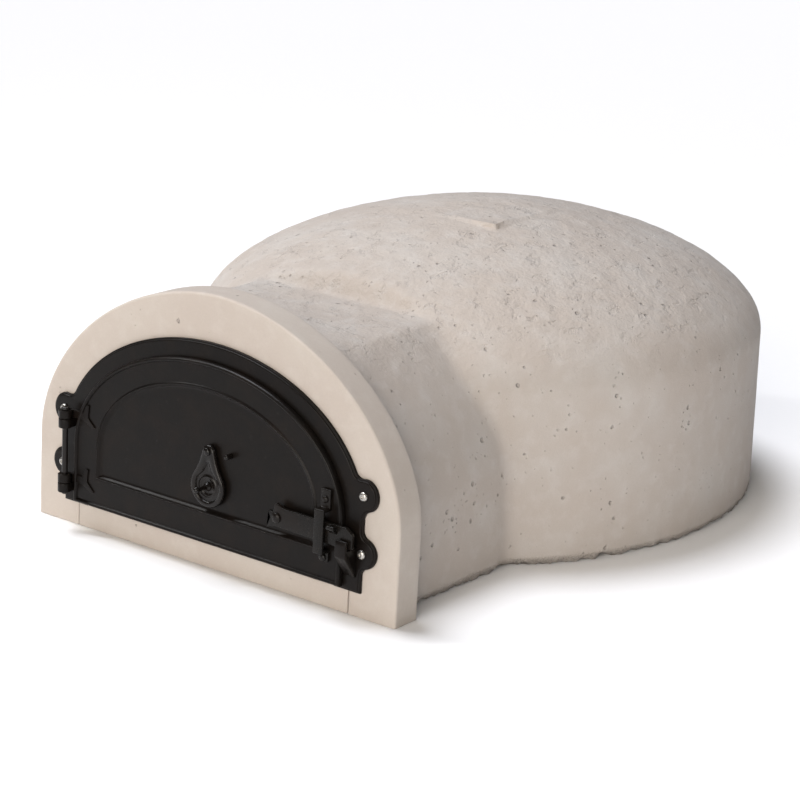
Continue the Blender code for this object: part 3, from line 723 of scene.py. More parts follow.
@dataclass(frozen=True)
class StovePaint:
    """Satin black stove paint over cast iron: a soft sheen on rounded rims, and the sand mould's fine grain."""

    name: str
    black: str = "100D0B"
    brown: str = "18120E"         # thinner, warmer paint
    worn: str = "4A4644"          # rubbed where hands and metal touch
    wear: float = 0.15
    grain: float = 0.0016         # mould sand, drawn a little coarse
    grain_depth: float = 0.00006
    roughness: float = 0.34
    sheen: float = 0.14

    def material(self) -> bpy.types.Material:
        """Two near blacks in patches, a rub of bare metal colour, grain in the bump and the gloss."""
        face = Surface(self.name)
        patch = face.noise(face.place, 0.045, 4.0, 0.6)
        grain = face.noise(face.place, self.grain, 2.0, 0.6)
        rub = face.noise(face.place, 0.010, 5.0, 0.7)
        tint = face.mix(patch.above(0.45, 3.0), linear(self.black), linear(self.brown))
        colour = face.mix(rub.above(0.62, self.wear * 6.0), tint, linear(self.worn))
        gloss = grain * 0.12 + patch * 0.12 + (self.roughness - 0.12)
        height = grain * self.grain_depth + face.noise(face.place, 0.007, 3.0) * (self.grain_depth * 2.5)
        return face.done({"Base Color": colour, "Roughness": gloss, "Specular IOR Level": self.sheen}, height)


@dataclass(frozen=True)
class ZincSteel:
    """Zinc plated steel: a bright grey metal with faint mottling in its colour, its gloss and its bump."""

    name: str
    zinc: str = "C9C6C0"
    dull: str = "9C9892"
    roughness: float = 0.34

    def material(self) -> bpy.types.Material:
        """A metal with two greys and uneven gloss."""
        face = Surface(self.name)
        patch = face.noise(face.place, 0.003, 4.0, 0.6)
        colour = face.mix(patch, linear(self.zinc), linear(self.dull))
        gloss = patch * 0.2 + (self.roughness - 0.1)
        return face.done({"Base Color": colour, "Roughness": gloss, "Metallic": 1.0}, patch * 0.00012)


@dataclass(frozen=True)
class StudioPaper:
    """Matt white background paper, hardly mottled and without any gloss."""

    name: str = "matt_white_studio_paper"
    white: str = "FDFDFD"
    mottle: str = "FBFBFB"

    def material(self) -> bpy.types.Material:
        """Two whites in small blotches."""
        face = Surface(self.name)
        colour = face.mix(face.noise(face.place, 0.02, 2.0), linear(self.white), linear(self.mottle))
        return face.done({"Base Color": colour, "Roughness": 1.0, "Specular IOR Level": 0.0})


# ================================================================ masonry
@dataclass
class Shell:
    """The cast shell: an oval dome with an upright wall and a rounded cap, and an arched neck in front."""

    centre: float = 0.685          # depth of the dome's middle
    half_width: float = 0.4515
    half_depth: float = 0.514
    wall: float = 0.265
    crown: float = 0.462
    draft: float = 0.0124
    power: float = 1.23
    thickness: float = 0.075
    cavity_wall: float = 0.205
    cavity_crown: float = 0.392
    pad: tuple[float, float, float] = (0.088, 0.114, 0.460)      # half width, half depth, and the highest point
    pad_proud: float = 0.0095      # how far the pad's near right corner stands out of the cap
    pad_edge: float = 0.4568       # height of the pad's top
    neck_foot: float = 0.321
    neck_half_width: float = 0.314
    neck_spring: float = 0.120
    neck_rise: float = 0.287
    neck_front: float = 0.0525
    land_height: float = 0.363
    land: tuple[float, float, float] = (0.152, 0.308, 0.165)     # front, back, half width
    land_crown: float = 0.009
    throat: tuple[float, float, float] = (0.262, 0.120, 0.190)   # half width, spring, rise
    swells: tuple[tuple[float, float, float], ...] = ((0.0016, 0.13, 1.0), (0.0007, 0.045, 2.0))
    clods: tuple[tuple[float, float, float], ...] = ((0.0016, 0.028, 3.0), (0.0014, 0.014, 4.0))
    finish: CastRefractory = field(default_factory=lambda: CastRefractory(
        "cast_refractory_shell", trowel=0.0024))
    columns: int = 312
    rows: int = 252
    coarse: int = 3

    def dome_distance(self, points: Array, thinner: float, wall: float, crown: float) -> Array:
        """Distance to a dome, positive outside.

        The plan is an oval whose size is 1 - draft z / wall up the wall, and then (1 - draft) cos(q)^power,
        where sin(q) is how far up the cap the height is. The excess over that size is divided by its slope.

        Args:
            points: places (x, y, z).
            thinner: how much smaller the plan's half axes are.
            wall: height of the wall.
            crown: height of the cap's top.

        Returns:
            The distances.
        """
        wide, deep = self.half_width - thinner, self.half_depth - thinner
        x, y, z = points[..., 0], points[..., 1] - self.centre, points[..., 2]
        radius = np.maximum(np.hypot(x / wide, y / deep), 1e-6)
        sine = np.clip((z - wall) / (crown - wall), 0.0, 0.9999)
        left = 1.0 - sine * sine
        size = (1.0 - self.draft * np.clip(z / wall, 0.0, 1.0)) * left ** (0.5 * self.power)
        rise = self.power * size * sine / left / (crown - wall) + self.draft / wall
        slope = np.hypot(np.hypot(x / wide ** 2, y / deep ** 2) / radius, rise)
        return np.maximum((radius - size) / slope, z - crown)

    def barrel(self, points: Array, half_width: float, spring: float, rise: float, foot: float) -> Array:
        """Distance to a level barrel: upright sides that lean in to the spring, then half an ellipse."""
        x, z = np.abs(points[..., 0]), points[..., 2]
        lean = half_width + (foot - half_width) * (1.0 - np.clip(z / spring, 0.0, 1.0))
        up = np.maximum(z - spring, 0.0)
        reach = np.maximum(np.hypot(x / half_width, up / rise), 1e-6)
        slope = np.hypot(x / half_width ** 2, up / rise ** 2) / reach
        return np.where(z > spring, (reach - 1.0) / np.maximum(slope, 1e-6), x - lean)

    def outside(self, points: Array) -> Array:
        """Distance to the outer surface: dome and neck in one, less the land's cut, plus the pad."""
        x, y, z = points[..., 0], points[..., 1], points[..., 2]
        dome = self.dome_distance(points, 0.0, self.wall, self.crown)
        neck = self.barrel(points, self.neck_half_width, self.neck_spring, self.neck_rise, self.neck_foot)
        front, back, half = self.land
        bulge = self.land_crown * np.clip(1.0 - (x / 0.167) ** 2, 0.0, 1.0)
        top = self.land_height + bulge * (1.0 - smooth_step(front - 0.004, front + 0.008, y))
        neck = soft_max(soft_max(neck, z - top, 0.007), y - 0.40, 0.01)
        solid = soft_min(dome, neck, 0.009)
        cut = np.maximum(self.land_height - z, np.abs(x) - half)
        cut = np.maximum(cut, (y - back - 0.6 * (z - self.land_height)) / 1.166)
        solid = soft_max(solid, -np.maximum(cut, front - y), 0.006)
        wide, deep, high = self.pad
        across = y - self.centre
        pad = soft_max(np.abs(x) - wide, np.maximum(-deep - across, across - 0.7 * deep), 0.006)
        proud = self.pad_proud * smooth_step(-0.03, 0.8 * wide, x) * (1.0 - 0.78 * smooth_step(-deep, 0.0, across))
        pad = soft_max(pad, np.maximum(dome - proud, z - self.pad_edge), 0.003)
        solid = np.where((z > 0.40) & (x > -0.03), soft_min(solid, pad, 0.003), solid)
        return np.maximum(solid, z - high)

    def inside(self, points: Array) -> Array:
        """Distance to the inner surface: the cavity and the throat in one."""
        cavity = self.dome_distance(points, self.thickness, self.cavity_wall, self.cavity_crown)
        wide, spring, rise = self.throat
        throat = self.barrel(points, wide, spring, rise, wide)
        throat = np.maximum(throat, points[..., 1] - 0.5)
        return soft_min(cavity, throat, 0.012)

    def leave(self, distance: Distance, turn: Array, swing: Array) -> Array:
        """Where rays from the middle of the floor leave a solid.

        A ray points to (cos turn sin swing, -cos swing, sin turn sin swing): swing 0 is straight out of
        the mouth and 180 is the back, and turn goes from the right ground over the top to the left ground.

        Args:
            distance: function that gives the distance to the surface.
            turn: angles over the top.
            swing: angles from the mouth.

        Returns:
            The points.
        """
        ray = np.stack([np.cos(turn) * np.sin(swing), -np.cos(swing), np.sin(turn) * np.sin(swing)], axis=-1)
        origin = np.array([0.0, self.centre, 0.0])
        reach = halve(lambda middle: distance(origin + ray * middle[..., None]) < 0.0, turn.shape, 0.05, 1.1)
        return origin + ray * reach[..., None]

    def skin(self, distance: Distance, turn: Array, rows: int) -> Array:
        """The grid of an outer or inner surface, from its front edge to the back.

        Args:
            distance: function that gives the distance to the surface.
            turn: angles over the top, one for each column.
            rows: points from front to back, at equal steps of length.

        Returns:
            Points, rows by columns.
        """
        ray = np.stack([np.cos(turn), np.zeros(turn.shape), np.sin(turn)], axis=-1)
        front = np.array([0.0, self.neck_front, 0.0])
        edge = halve(lambda middle: distance(ray * middle[..., None] + front) < 0.0, turn.shape, 0.05, 0.6)
        start = np.arctan2(edge, self.centre - self.neck_front)
        share = np.linspace(0.0, 1.0, 2 * rows)[:, None]
        swing = start + (math.pi - start) * share
        rough = self.leave(distance, np.broadcast_to(turn, swing.shape), swing)
        length = run_length(rough)
        even = np.linspace(0.0, 1.0, rows)
        swings = np.stack([np.interp(even, length[:, i] / length[-1, i], swing[:, i])
                           for i in range(len(turn))], axis=1)
        points = self.leave(distance, np.broadcast_to(turn, swings.shape), swings)
        points[0, :, 1] = self.neck_front
        points[-1] = points[-1].mean(axis=0)
        points[:, [0, -1], 2] = 0.0
        return points

    def roughen(self, points: Array) -> Array:
        """Hand-cast unevenness, always inwards: swells, clods on top, and a crumbled rim chipped up from the ground.

        Args:
            points: the outer grid.

        Returns:
            The moved grid.
        """
        step = 0.0008
        slope = np.stack([self.outside(points + step * axis) - self.outside(points - step * axis)
                          for axis in np.eye(3)], axis=-1)
        normal = slope / np.maximum(np.linalg.norm(slope, axis=-1, keepdims=True), 1e-9)
        up = smooth_step(0.25, 0.36, points[..., 2])
        depth = layered(points, self.swells) + up * layered(points, self.clods)
        low = np.exp(-points[..., 2] / 0.0075)
        crumb = np.clip(lumps(points, 0.016, 5.0) - 0.35, 0.0, 1.0)
        crumb = crumb + 0.9 * np.clip(lumps(points, 0.0065, 6.0) - 0.4, 0.0, 1.0)
        depth += low * 0.011 * crumb + 0.0025 * np.exp(-points[..., 2] / 0.004)
        fade = smooth_step(0.0, 0.012, points[..., 1] - self.neck_front)
        normal[:, [0, -1], 2] = 0.0
        moved = points - normal * (depth * fade)[..., None]
        chip = 0.0085 * np.clip(1.7 * lumps(points, 0.0065, 9.0) - 0.45, 0.0, 1.0)
        chip = chip * (0.35 + 0.65 * lumps(points, 0.03, 10.0))
        moved[..., 2] += chip * fade * np.exp(-points[..., 2] / 0.010)
        moved[-1] = points[-1]
        return moved

    def build(self) -> None:
        """Outer and inner skins, joined by the neck's front face and the rim that stands on the ground."""
        turn = np.linspace(0.0, 1.0, self.columns + 1)
        turn = math.pi * (turn - 0.06 * np.sin(2 * math.pi * turn) / (2 * math.pi) * 4.0)
        outer = self.roughen(self.skin(self.outside, turn, self.rows + 1))
        inner = self.skin(self.inside, turn[::self.coarse], self.rows // self.coarse + 1)
        parts = [Patch(outer), Patch(inner), Stitch(outer[0], inner[0], self.coarse),
                 Stitch(outer[:, 0], inner[:, 0], self.coarse), Stitch(outer[:, -1], inner[:, -1], self.coarse)]
        dress(build("shell_dome_and_neck", parts, 50.0), "oven", "refractory_castable", self.finish.material(),
              "dome_shell")


@dataclass
class Arch:
    """The refractory arch round the mouth and the low sill between its legs."""

    depth: float = 0.052
    outer: tuple[float, float, float, float] = (0.351, 0.135, 0.283, 1.88)   # half width, spring, rise, power
    inner: tuple[float, float, float] = (0.266, 0.1445, 0.1855)
    arris: float = 0.0045
    inner_arris: float = 0.0020
    sill_height: float = 0.060
    sill_half_width: float = 0.2647
    finish: CastRefractory = field(default_factory=lambda: CastRefractory(
        "cast_refractory_arch", body="C1B9B0", pale="C6BFB7", warm="BCB2A9", mottle=0.16, hole_share=0.10,
        hole_radius=0.0014, pin_share=0.10, pin_radius=0.0007, grain_depth=0.00010, roughness=0.9, seed=0.7))

    def section(self) -> list[tuple[float, float, float]]:
        """The ring's section as (share from outer to inner outline, inset, depth), all the way round."""
        out, within, back = self.arris, self.inner_arris, 0.002
        rows = [(0.0, back - x, self.depth - back + z) for x, z in quarter(back, 90.0, 0.0)]
        rows += [(0.0, 0.0, d) for d in np.linspace(self.depth - 0.010, 0.010, 5)]
        rows += [(0.0, out - x, out - z) for x, z in quarter(out, 0.0, 90.0, 7)]
        rows += [(s, (1.0 - s) * out - s * within, 0.0) for s in np.linspace(0.0, 1.0, 11)[1:-1]]
        rows += [(1.0, -within + x, within - z) for x, z in quarter(within, 90.0, 0.0)]
        rows += [(1.0, 0.0, d) for d in np.linspace(0.010, self.depth - 0.010, 5)]
        rows += [(1.0, -back + x, self.depth - back + z) for x, z in quarter(back, 0.0, 90.0)]
        rows += [(s, (1.0 - s) * back - s * back, self.depth) for s in np.linspace(1.0, 0.0, 6)[1:-1]]
        return rows

    def build(self) -> None:
        """The section carried along both outlines, and the sill as a rounded block."""
        width, spring, rise, power = self.outer
        outer = arch(width, spring, rise, 0.0, power, legs=36, crown=190)
        inner = arch(*self.inner, 0.0, legs=36, crown=190)
        rows = [at_depth(inset(outer, shift, False) * (1.0 - share) + inset(inner, shift, False) * share, depth)
                for share, shift, depth in self.section()]
        ring = Patch(np.stack(rows, axis=1), wrap_columns=True, capped=True)
        piece = build("arch_ring_cast", [ring])
        weather(piece, 0.0005, 0.06, 8.0)
        material = self.finish.material()
        dress(piece, "oven", "arch_castable", material, "arch_ring")
        corners = np.array([[0.0, 0.0], [0.0, self.sill_height], [self.depth, self.sill_height], [self.depth, 0.0]])
        loop = clockwise(round_corners(corners, np.array([0.0012, 0.003, 0.003, 0.0012])))
        sill = build("hearth_sill_cast", [prism(loop, Axis.X, -self.sill_half_width, self.sill_half_width, 0.0011)])
        dress(sill, "oven", "sill_castable", material, "hearth_sill")


@dataclass
class Hearth:
    """The cooking floor in two slabs, with eased top edges."""

    centre: float = 0.685
    half_width: float = 0.3725
    half_depth: float = 0.435
    throat: float = 0.261
    front: float = 0.0525
    joint: float = 0.001
    height: float = 0.060
    finish: CastRefractory = field(default_factory=lambda: CastRefractory(
        "cast_refractory_hearth", body="B9B1A7", pale="C2BAB1", warm="AEA59B", hole_share=0.25, hole_radius=0.0016,
        grain_depth=0.00025, seed=1.9))

    def slab(self, name: str, loop: Array) -> bpy.types.Object:
        """A loop raised from the ground with rounded rims."""
        return build(name, [prism(clockwise(loop), Axis.Z, 0.0, self.height, 0.0025)])

    def oval(self, start: float, end: float, count: int) -> Array:
        """Points on the oval outline between two angles in degrees from the right."""
        turn = np.radians(np.linspace(start, end, count))
        return np.stack([self.half_width * np.cos(turn), self.centre + self.half_depth * np.sin(turn)], axis=1)

    def build(self) -> None:
        """The rear half oval, and the front half with the tongue that fills the throat."""
        small = math.degrees(math.asin(self.joint / self.half_depth))
        meet = math.degrees(math.acos(self.throat / self.half_width))
        material = self.finish.material()
        rear = self.slab("hearth_rear_slab_cast", self.oval(small, 180.0 - small, 90))
        dress(rear, "oven", "hearth_castable", material, "hearth_rear_slab")
        tongue = np.array([[-self.throat, self.front], [self.throat, self.front]])
        loop = np.concatenate([tongue, self.oval(-meet, -small, 40), self.oval(180.0 + small, 180.0 + meet, 40)])
        front = self.slab("hearth_front_slab_cast", loop)
        dress(front, "oven", "hearth_castable", material, "hearth_front_slab")


# ================================================================ ironwork
@dataclass
class DoorFrame:
    """The cast frame: a flange with four lugs, its sleeve in the mouth, a rail, knuckles and the keeper."""

    back: float = -0.0005
    front: float = -0.0080
    outer: tuple[float, float, float, float] = (0.290, 0.1445, 0.203, 0.038)   # half width, spring, rise, foot
    inner: tuple[float, float, float, float] = (0.243, 0.1445, 0.1555, 0.058)
    rail_low: float = 0.0465
    lug_radius: float = 0.023
    lug_fillet: float = 0.013
    screws: dict[str, tuple[float, float]] = field(default_factory=lambda: {
        "frame_screw_upper_left": (-0.291, 0.185), "frame_screw_lower_left": (-0.292, 0.099),
        "frame_screw_upper_right": (0.291, 0.185), "frame_screw_lower_right": (0.292, 0.099)})
    finish: StovePaint = field(default_factory=lambda: StovePaint("stove_painted_cast_iron_frame"))
    screw_finish: ZincSteel = field(default_factory=lambda: ZincSteel("zinc_plated_steel_screws"))
    pin_finish: StovePaint = field(default_factory=lambda: StovePaint(
        "stove_painted_steel_pins", black="161413", wear=0.3, roughness=0.30, sheen=0.26))

    def lugged(self, line: Array) -> Array:
        """The outer line pushed out into a round lug at each screw, with a fillet on both sides.

        Past the fillet the push is nothing. On the lug it is c + sqrt(R^2 - u^2), and on the fillet
        f - sqrt(f^2 - (d - u)^2), for the distance u along the line from the screw.

        Args:
            line: the plain outer line.

        Returns:
            The line with lugs.
        """
        length = run_length(line)
        push = np.zeros(len(line))
        for x, z in self.screws.values():
            gap = np.linalg.norm(line - np.array([x, z]), axis=1)
            near = int(np.argmin(gap))
            centre = abs(x) - abs(line[near, 0])
            reach, fillet = self.lug_radius, self.lug_fillet
            spread = math.sqrt((reach + fillet) ** 2 - (fillet - centre) ** 2)
            edge = reach * spread / (reach + fillet)
            u = np.abs(length - length[near])
            on_lug = centre + np.sqrt(np.maximum(reach ** 2 - u ** 2, 0.0))
            on_fillet = fillet - np.sqrt(np.maximum(fillet ** 2 - (spread - u) ** 2, 0.0))
            push += np.where(u < edge, on_lug, np.where(u < spread, on_fillet, 0.0))
        return inset(line, -push, False)

    def flange(self) -> Patch:
        """The flange and rail: a section carried round the lugged outline and the opening."""
        width, spring, rise, foot = self.outer
        fine = arch(width, spring, rise, foot, 2.0, 210, 620)
        outer = self.lugged(fine)
        width, spring, rise, low = self.inner
        inner = arch(width, spring, rise, low, 2.0, 210, 620)
        edge = self.inner[0]
        shares = np.linspace(0.0, 1.0, 40)
        below = [(self.outer[0] - 0.012, foot), (edge + 0.010, foot), (edge, foot)]
        run = blended((edge, self.rail_low), (-edge, self.rail_low), shares)
        outer = np.concatenate([outer, below, run, [(-x, z) for x, z in below[::-1]]])
        still = np.array([(edge, low)] * len(below), float)
        top = blended((edge, low), (-edge, low), shares)
        inner = np.concatenate([inner, still, top, still * np.array([-1.0, 1.0])])
        face = self.front
        rows = [(0.0, 0.0006, self.back), (0.0, 0.0, self.back - 0.0006), (0.0, 0.0, face + 0.0040)]
        rows += [(0.0, 0.0012 - x, face + 0.0034 - z) for x, z in quarter(0.0012, 20.0, 90.0, 4)]
        rows += [(0.0, 0.0026, face + 0.0021), (0.0, 0.0030, face + 0.0017), (0.0, 0.0033, face + 0.0006),
                 (0.0, 0.0039, face + 0.0001), (0.0, 0.0046, face), (1.0, -0.0012, face),
                 (1.0, -0.0003, face + 0.0004), (1.0, 0.0, face + 0.0012), (1.0, 0.0, self.back)]
        loops = []
        for side, shift, depth in rows:
            loop = inner if side else inset(outer, shift)
            if not side:
                # the legs' lowest points would fold past the inset corner, so they are held at its height
                leg = np.abs(loop[:, 0]) > edge + 0.02
                loop[:, 1] = np.where(leg, np.maximum(loop[:, 1], foot + shift), loop[:, 1])
            loops.append(at_depth(loop, depth))
        return Patch(np.stack(loops), wrap_rows=True, wrap_columns=True)

    def sleeve(self) -> Patch:
        """The band that reaches back into the mouth: a rounded strip carried along the arch."""
        outer = arch(0.263, 0.1445, 0.1825, 0.062, 2.0, 16, 90)
        inner = arch(0.257, 0.1445, 0.1765, 0.062, 2.0, 16, 90)
        rows = [(outer, -0.005), (outer, 0.0212), (inset(outer, 0.0008, False), 0.022),
                (inset(inner, -0.0008, False), 0.022), (inner, 0.0212), (inner, -0.005)]
        band = np.stack([at_depth(line, depth) for line, depth in rows], axis=1)
        return Patch(band, wrap_columns=True, capped=True)

    def knuckle(self, low: float, high: float) -> Patch:
        """A round nose on a short arm that grows out of the flange."""
        x, y = HINGE
        turn = np.radians(np.linspace(180.0, 360.0, 25))
        nose = circle_at(HINGE, 0.0105, turn)
        heel = np.array([[x + 0.0085, y + 0.007], [x + 0.0085, -0.0062], [x - 0.0105, -0.0062]])
        return prism(clockwise(np.concatenate([nose, heel])), Axis.Z, low, high, 0.0011)

    def keeper(self) -> Patch:
        """The hooked catch, with a wedge under it and a lip in front."""
        front, lip = -0.036, 0.0055
        profile = np.array([(-0.0062, 0.062), (-0.0100, 0.062), (front, 0.0965), (front, 0.115), (front + 0.002, 0.121),
                            (front + lip, 0.121), (front + lip, 0.1065), (-0.0062, 0.1065)])
        return prism(clockwise(round_corners(profile, 0.0022, 6)), Axis.X, 0.2645, 0.2835, 0.0009)

    def build(self) -> None:
        """The frame as one casting, its screws and the hinge pin."""
        parts = [self.flange(), self.sleeve(), self.knuckle(0.163, 0.1775), self.knuckle(0.060, 0.0745), self.keeper()]
        piece = build("door_frame_cast", parts)
        dress(piece, "oven", "frame_iron", self.finish.material(), "door_frame")
        metal = self.screw_finish.material()
        seat = self.front - 0.0005
        for name, (x, z) in self.screws.items():
            head = [(POINT, seat - 0.0018), (0.0021, seat - 0.0020), (0.0026, seat - 0.0022), (0.0028, seat - 0.0041),
                    (0.0036, seat - 0.0042), (0.0052, seat - 0.0036), (0.0064, seat - 0.0024), (0.0070, seat - 0.0010),
                    (0.0070, seat - 0.0002), (0.0068, seat), (0.003, seat), (0.003, 0.0365), (0.001, 0.038),
                    (POINT, 0.038)]
            screw = build(name + "_pan_head", [turned((x, z), Axis.Y, head, 36, {0: 1.0, 1: 1.0, 2: 1.0, 3: 1.0})])
            dress(screw, "oven", "screw_steel", metal, name)
        rod = [(POINT, 0.056), (0.0034, 0.0562), (0.0045, 0.0575), (0.0045, 0.1915), (0.0066, 0.1915), (0.0070, 0.1920),
               (0.0070, 0.1930), (0.0062, 0.1944), (0.0044, 0.1953), (0.0020, 0.1955), (POINT, 0.1955)]
        pin = build("hinge_pin_rod", [turned(HINGE, Axis.Z, rod, 32)])
        dress(pin, "oven", "pin_iron", self.pin_finish.material(), "hinge_pin")


@dataclass
class DoorLeaf:
    """The cast door: a beaded edge, a flat border, a sunk panel with its own fine bead, straps and eyes."""

    back: float = -0.0090
    band: float = -0.0160
    bead: float = -0.0196
    panel_face: float = -0.0130
    leaf: tuple[float, float, float, float] = (0.261, 0.140, 0.181, 0.044)
    panel: tuple[float, float, float, float] = (0.209, 0.140, 0.1377, 0.0966)
    hole: tuple[float, float, float] = (0.013, 0.135, 0.020)      # x, z, radius of the draught hole
    eyes: tuple[tuple[float, float], ...] = ((0.178, 0.191), (0.075, 0.089))
    strap_end: float = -0.218
    finish: StovePaint = field(default_factory=lambda: StovePaint("stove_painted_cast_iron_door"))

    def loop(self, outline: tuple[float, float, float, float], shift: float) -> Array:
        """The arch's loop with its half width and rise less a shift, and its foot raised by it."""
        width, spring, rise, foot = outline
        return close_below(arch(width - shift, spring, rise - shift, foot + shift, 2.0, 30, 190), 90)

    def plate(self) -> Patch:
        """The leaf itself: one section carried round the edge, over the panel, and through the hole."""
        side, band, bead = self.back, self.band, self.bead
        leaf, panel = self.leaf, self.panel
        rows = [at_depth(self.loop(leaf, 0.0008), side), at_depth(self.loop(leaf, 0.0), side - 0.0010),
                at_depth(self.loop(leaf, 0.0), band - 0.0001)]
        width = 0.0070
        for share in np.linspace(0.06, 1.0, 10):
            lift = (bead - band) * (1.0 - abs(2.0 * share - 1.0) ** 2.6)
            least = -0.0001 if share < 0.5 else 0.0      # the outer flank starts clear of the row before it
            rows.append(at_depth(self.loop(leaf, width * share), band + min(lift, least)))
        rows.append(at_depth(self.loop(leaf, width + 0.0010), band))
        for shift, lift in ((-0.0076, 0.0), (-0.0068, 0.0), (-0.0060, -0.0006), (-0.0050, -0.0017), (-0.0040, -0.0021),
                            (-0.0030, -0.0017), (-0.0020, -0.0006), (-0.0012, 0.0002), (-0.0002, 0.0014),
                            (0.0012, 0.0026), (0.0022, 0.0030), (0.0046, 0.0030), (0.0052, 0.0030), (0.0066, 0.0030)):
            rows.append(at_depth(self.loop(panel, shift), band + lift))
        centre, last = self.hole[:2], self.loop(panel, 0.0066)
        angles = angles_about(centre, last)
        rim = circle_at(centre, self.hole[2], angles)
        for share in (0.2, 0.45, 0.7, 0.88):
            rows.append(at_depth(blended(last, rim, share), self.panel_face))
        rows += [at_depth(circle_at(centre, self.hole[2] + 0.0006, angles), self.panel_face),
                 at_depth(rim, self.panel_face + 0.0006), at_depth(rim, side)]
        return Patch(np.stack(rows), wrap_rows=True, wrap_columns=True)

    def strap(self, low: float, high: float) -> Patch:
        """A hinge strap with a three-pointed end, its corners eased."""
        z, half, end = 0.5 * (low + high), 0.5 * (high - low), self.strap_end
        corners = np.array([(HINGE[0], z - half), (end - 0.024, z - half * 0.9), (end - 0.005, z - half - 0.0095),
                            (end, z - half - 0.0075), (end - 0.014, z - half * 0.15), (end - 0.0145, z + half * 0.4),
                            (end - 0.0125, z + half + 0.0125), (end - 0.0175, z + half + 0.0135),
                            (end - 0.025, z + half * 0.85), (HINGE[0], z + half)])
        return prism(clockwise(round_corners(corners, 0.0016, 5)), Axis.Y, -0.0184, -0.0150, 0.0006)

    def build(self) -> None:
        """Plate, straps, eyes and the latch boss as one casting."""
        parts = [self.plate()]
        for low, high in self.eyes:
            parts.append(self.strap(low, high))
            ring = [(0.0049, low + 0.0006), (0.0054, low), (0.0095, low), (0.0105, low + 0.001), (0.0105, high - 0.001),
                    (0.0095, high), (0.0054, high), (0.0049, high - 0.0006)]
            eye = turned(HINGE, Axis.Z, ring, 40)
            parts.append(Patch(eye.points, wrap_rows=True, wrap_columns=True))
        boss = [(POINT, -0.011), (0.011, -0.011), (0.011, -0.0190), (0.0100, -0.0200), (POINT, -0.0200)]
        parts.append(turned(LATCH_PIVOT, Axis.Y, boss, 36))
        dress(build("door_leaf_cast", parts), "door", "door_iron", self.finish.material(), "door_leaf")


@dataclass
class Latch:
    """The lift latch: a flat arm with a forked tail, its pivot bolt, and the strap that guides it."""

    back: float = -0.0205
    front: float = -0.0270
    end: float = 0.288
    half_height: float = 0.016
    finish: StovePaint = field(default_factory=lambda: StovePaint(
        "stove_painted_iron_latch", black="141210", wear=0.35, roughness=0.28, sheen=0.19))

    def arm(self) -> list[Patch]:
        """The arm, pushed from its outline, with the thumb tab on it."""
        x, z = LATCH_PIVOT
        tall = self.half_height
        corners = np.array([
            (x - 0.004, z - tall * 0.85), (self.end - 0.022, z - tall), (self.end, z - tall * 0.9),
            (self.end, z + tall * 0.5), (self.end - 0.012, z + tall), (x + 0.012, z + tall),
            (x - 0.003, z + tall + 0.006), (x - 0.007, z + tall * 0.45), (x - 0.017, z + tall * 0.5),
            (x - 0.012, z - tall * 0.1), (x - 0.019, z - tall - 0.003)])
        bar = prism(clockwise(round_corners(corners, 0.0030, 7)), Axis.Y, self.front, self.back, 0.0010)
        tab = np.array([(self.front + 0.002, z + 0.001), (-0.0350, z + 0.0085), (-0.0368, z + 0.0105),
                        (-0.0368, z + 0.0145), (-0.0350, z + 0.0155), (self.front + 0.002, z + 0.013)])
        return [bar, prism(clockwise(round_corners(tab, 0.0014)), Axis.X, 0.248, 0.261, 0.0006)]

    def guide(self) -> Patch:
        """The guide strap: feet on the door and a bridge over the arm, of one thickness."""
        back, wall, reach = -0.0165, 0.0045, -0.0350
        front, inside = back - wall, reach + wall
        profile = np.array([(back, 0.077), (back, 0.0955), (inside, 0.0955), (inside, 0.1535), (back, 0.1535),
                            (back, 0.185), (front, 0.185), (front, 0.158), (reach, 0.158), (reach, 0.091),
                            (front, 0.091), (front, 0.077)])
        loop = clockwise(round_corners(profile, 0.0019, 6))
        return prism(loop, Axis.X, 0.2245, 0.2415, 0.0012)

    def build(self) -> None:
        """Arm, guide, and the three bolts."""
        handled = self.finish.material()
        dress(build("latch_arm_bar", self.arm()), "latch", "latch_iron", handled, "latch_arm")
        dress(build("latch_guide_strap_bent", [self.guide()]), "door", "latch_iron", handled, "latch_guide_strap")
        bolt = dome_head(0.0080, self.front - 0.0005, 0.0045, 0.0040, -0.0095)
        dress(build("latch_pivot_bolt_domed", [turned(LATCH_PIVOT, Axis.Y, bolt)]), "door", "pin_iron", handled,
              "latch_pivot_bolt")
        for name, z in (("guide_bolt_lower", 0.083), ("guide_bolt_upper", 0.170)):
            head = dome_head(0.0055, -0.0215, 0.0035, 0.0030, -0.0095)
            dress(build(name + "_domed", [turned((0.233, z), Axis.Y, head)]), "door", "pin_iron", handled, name)


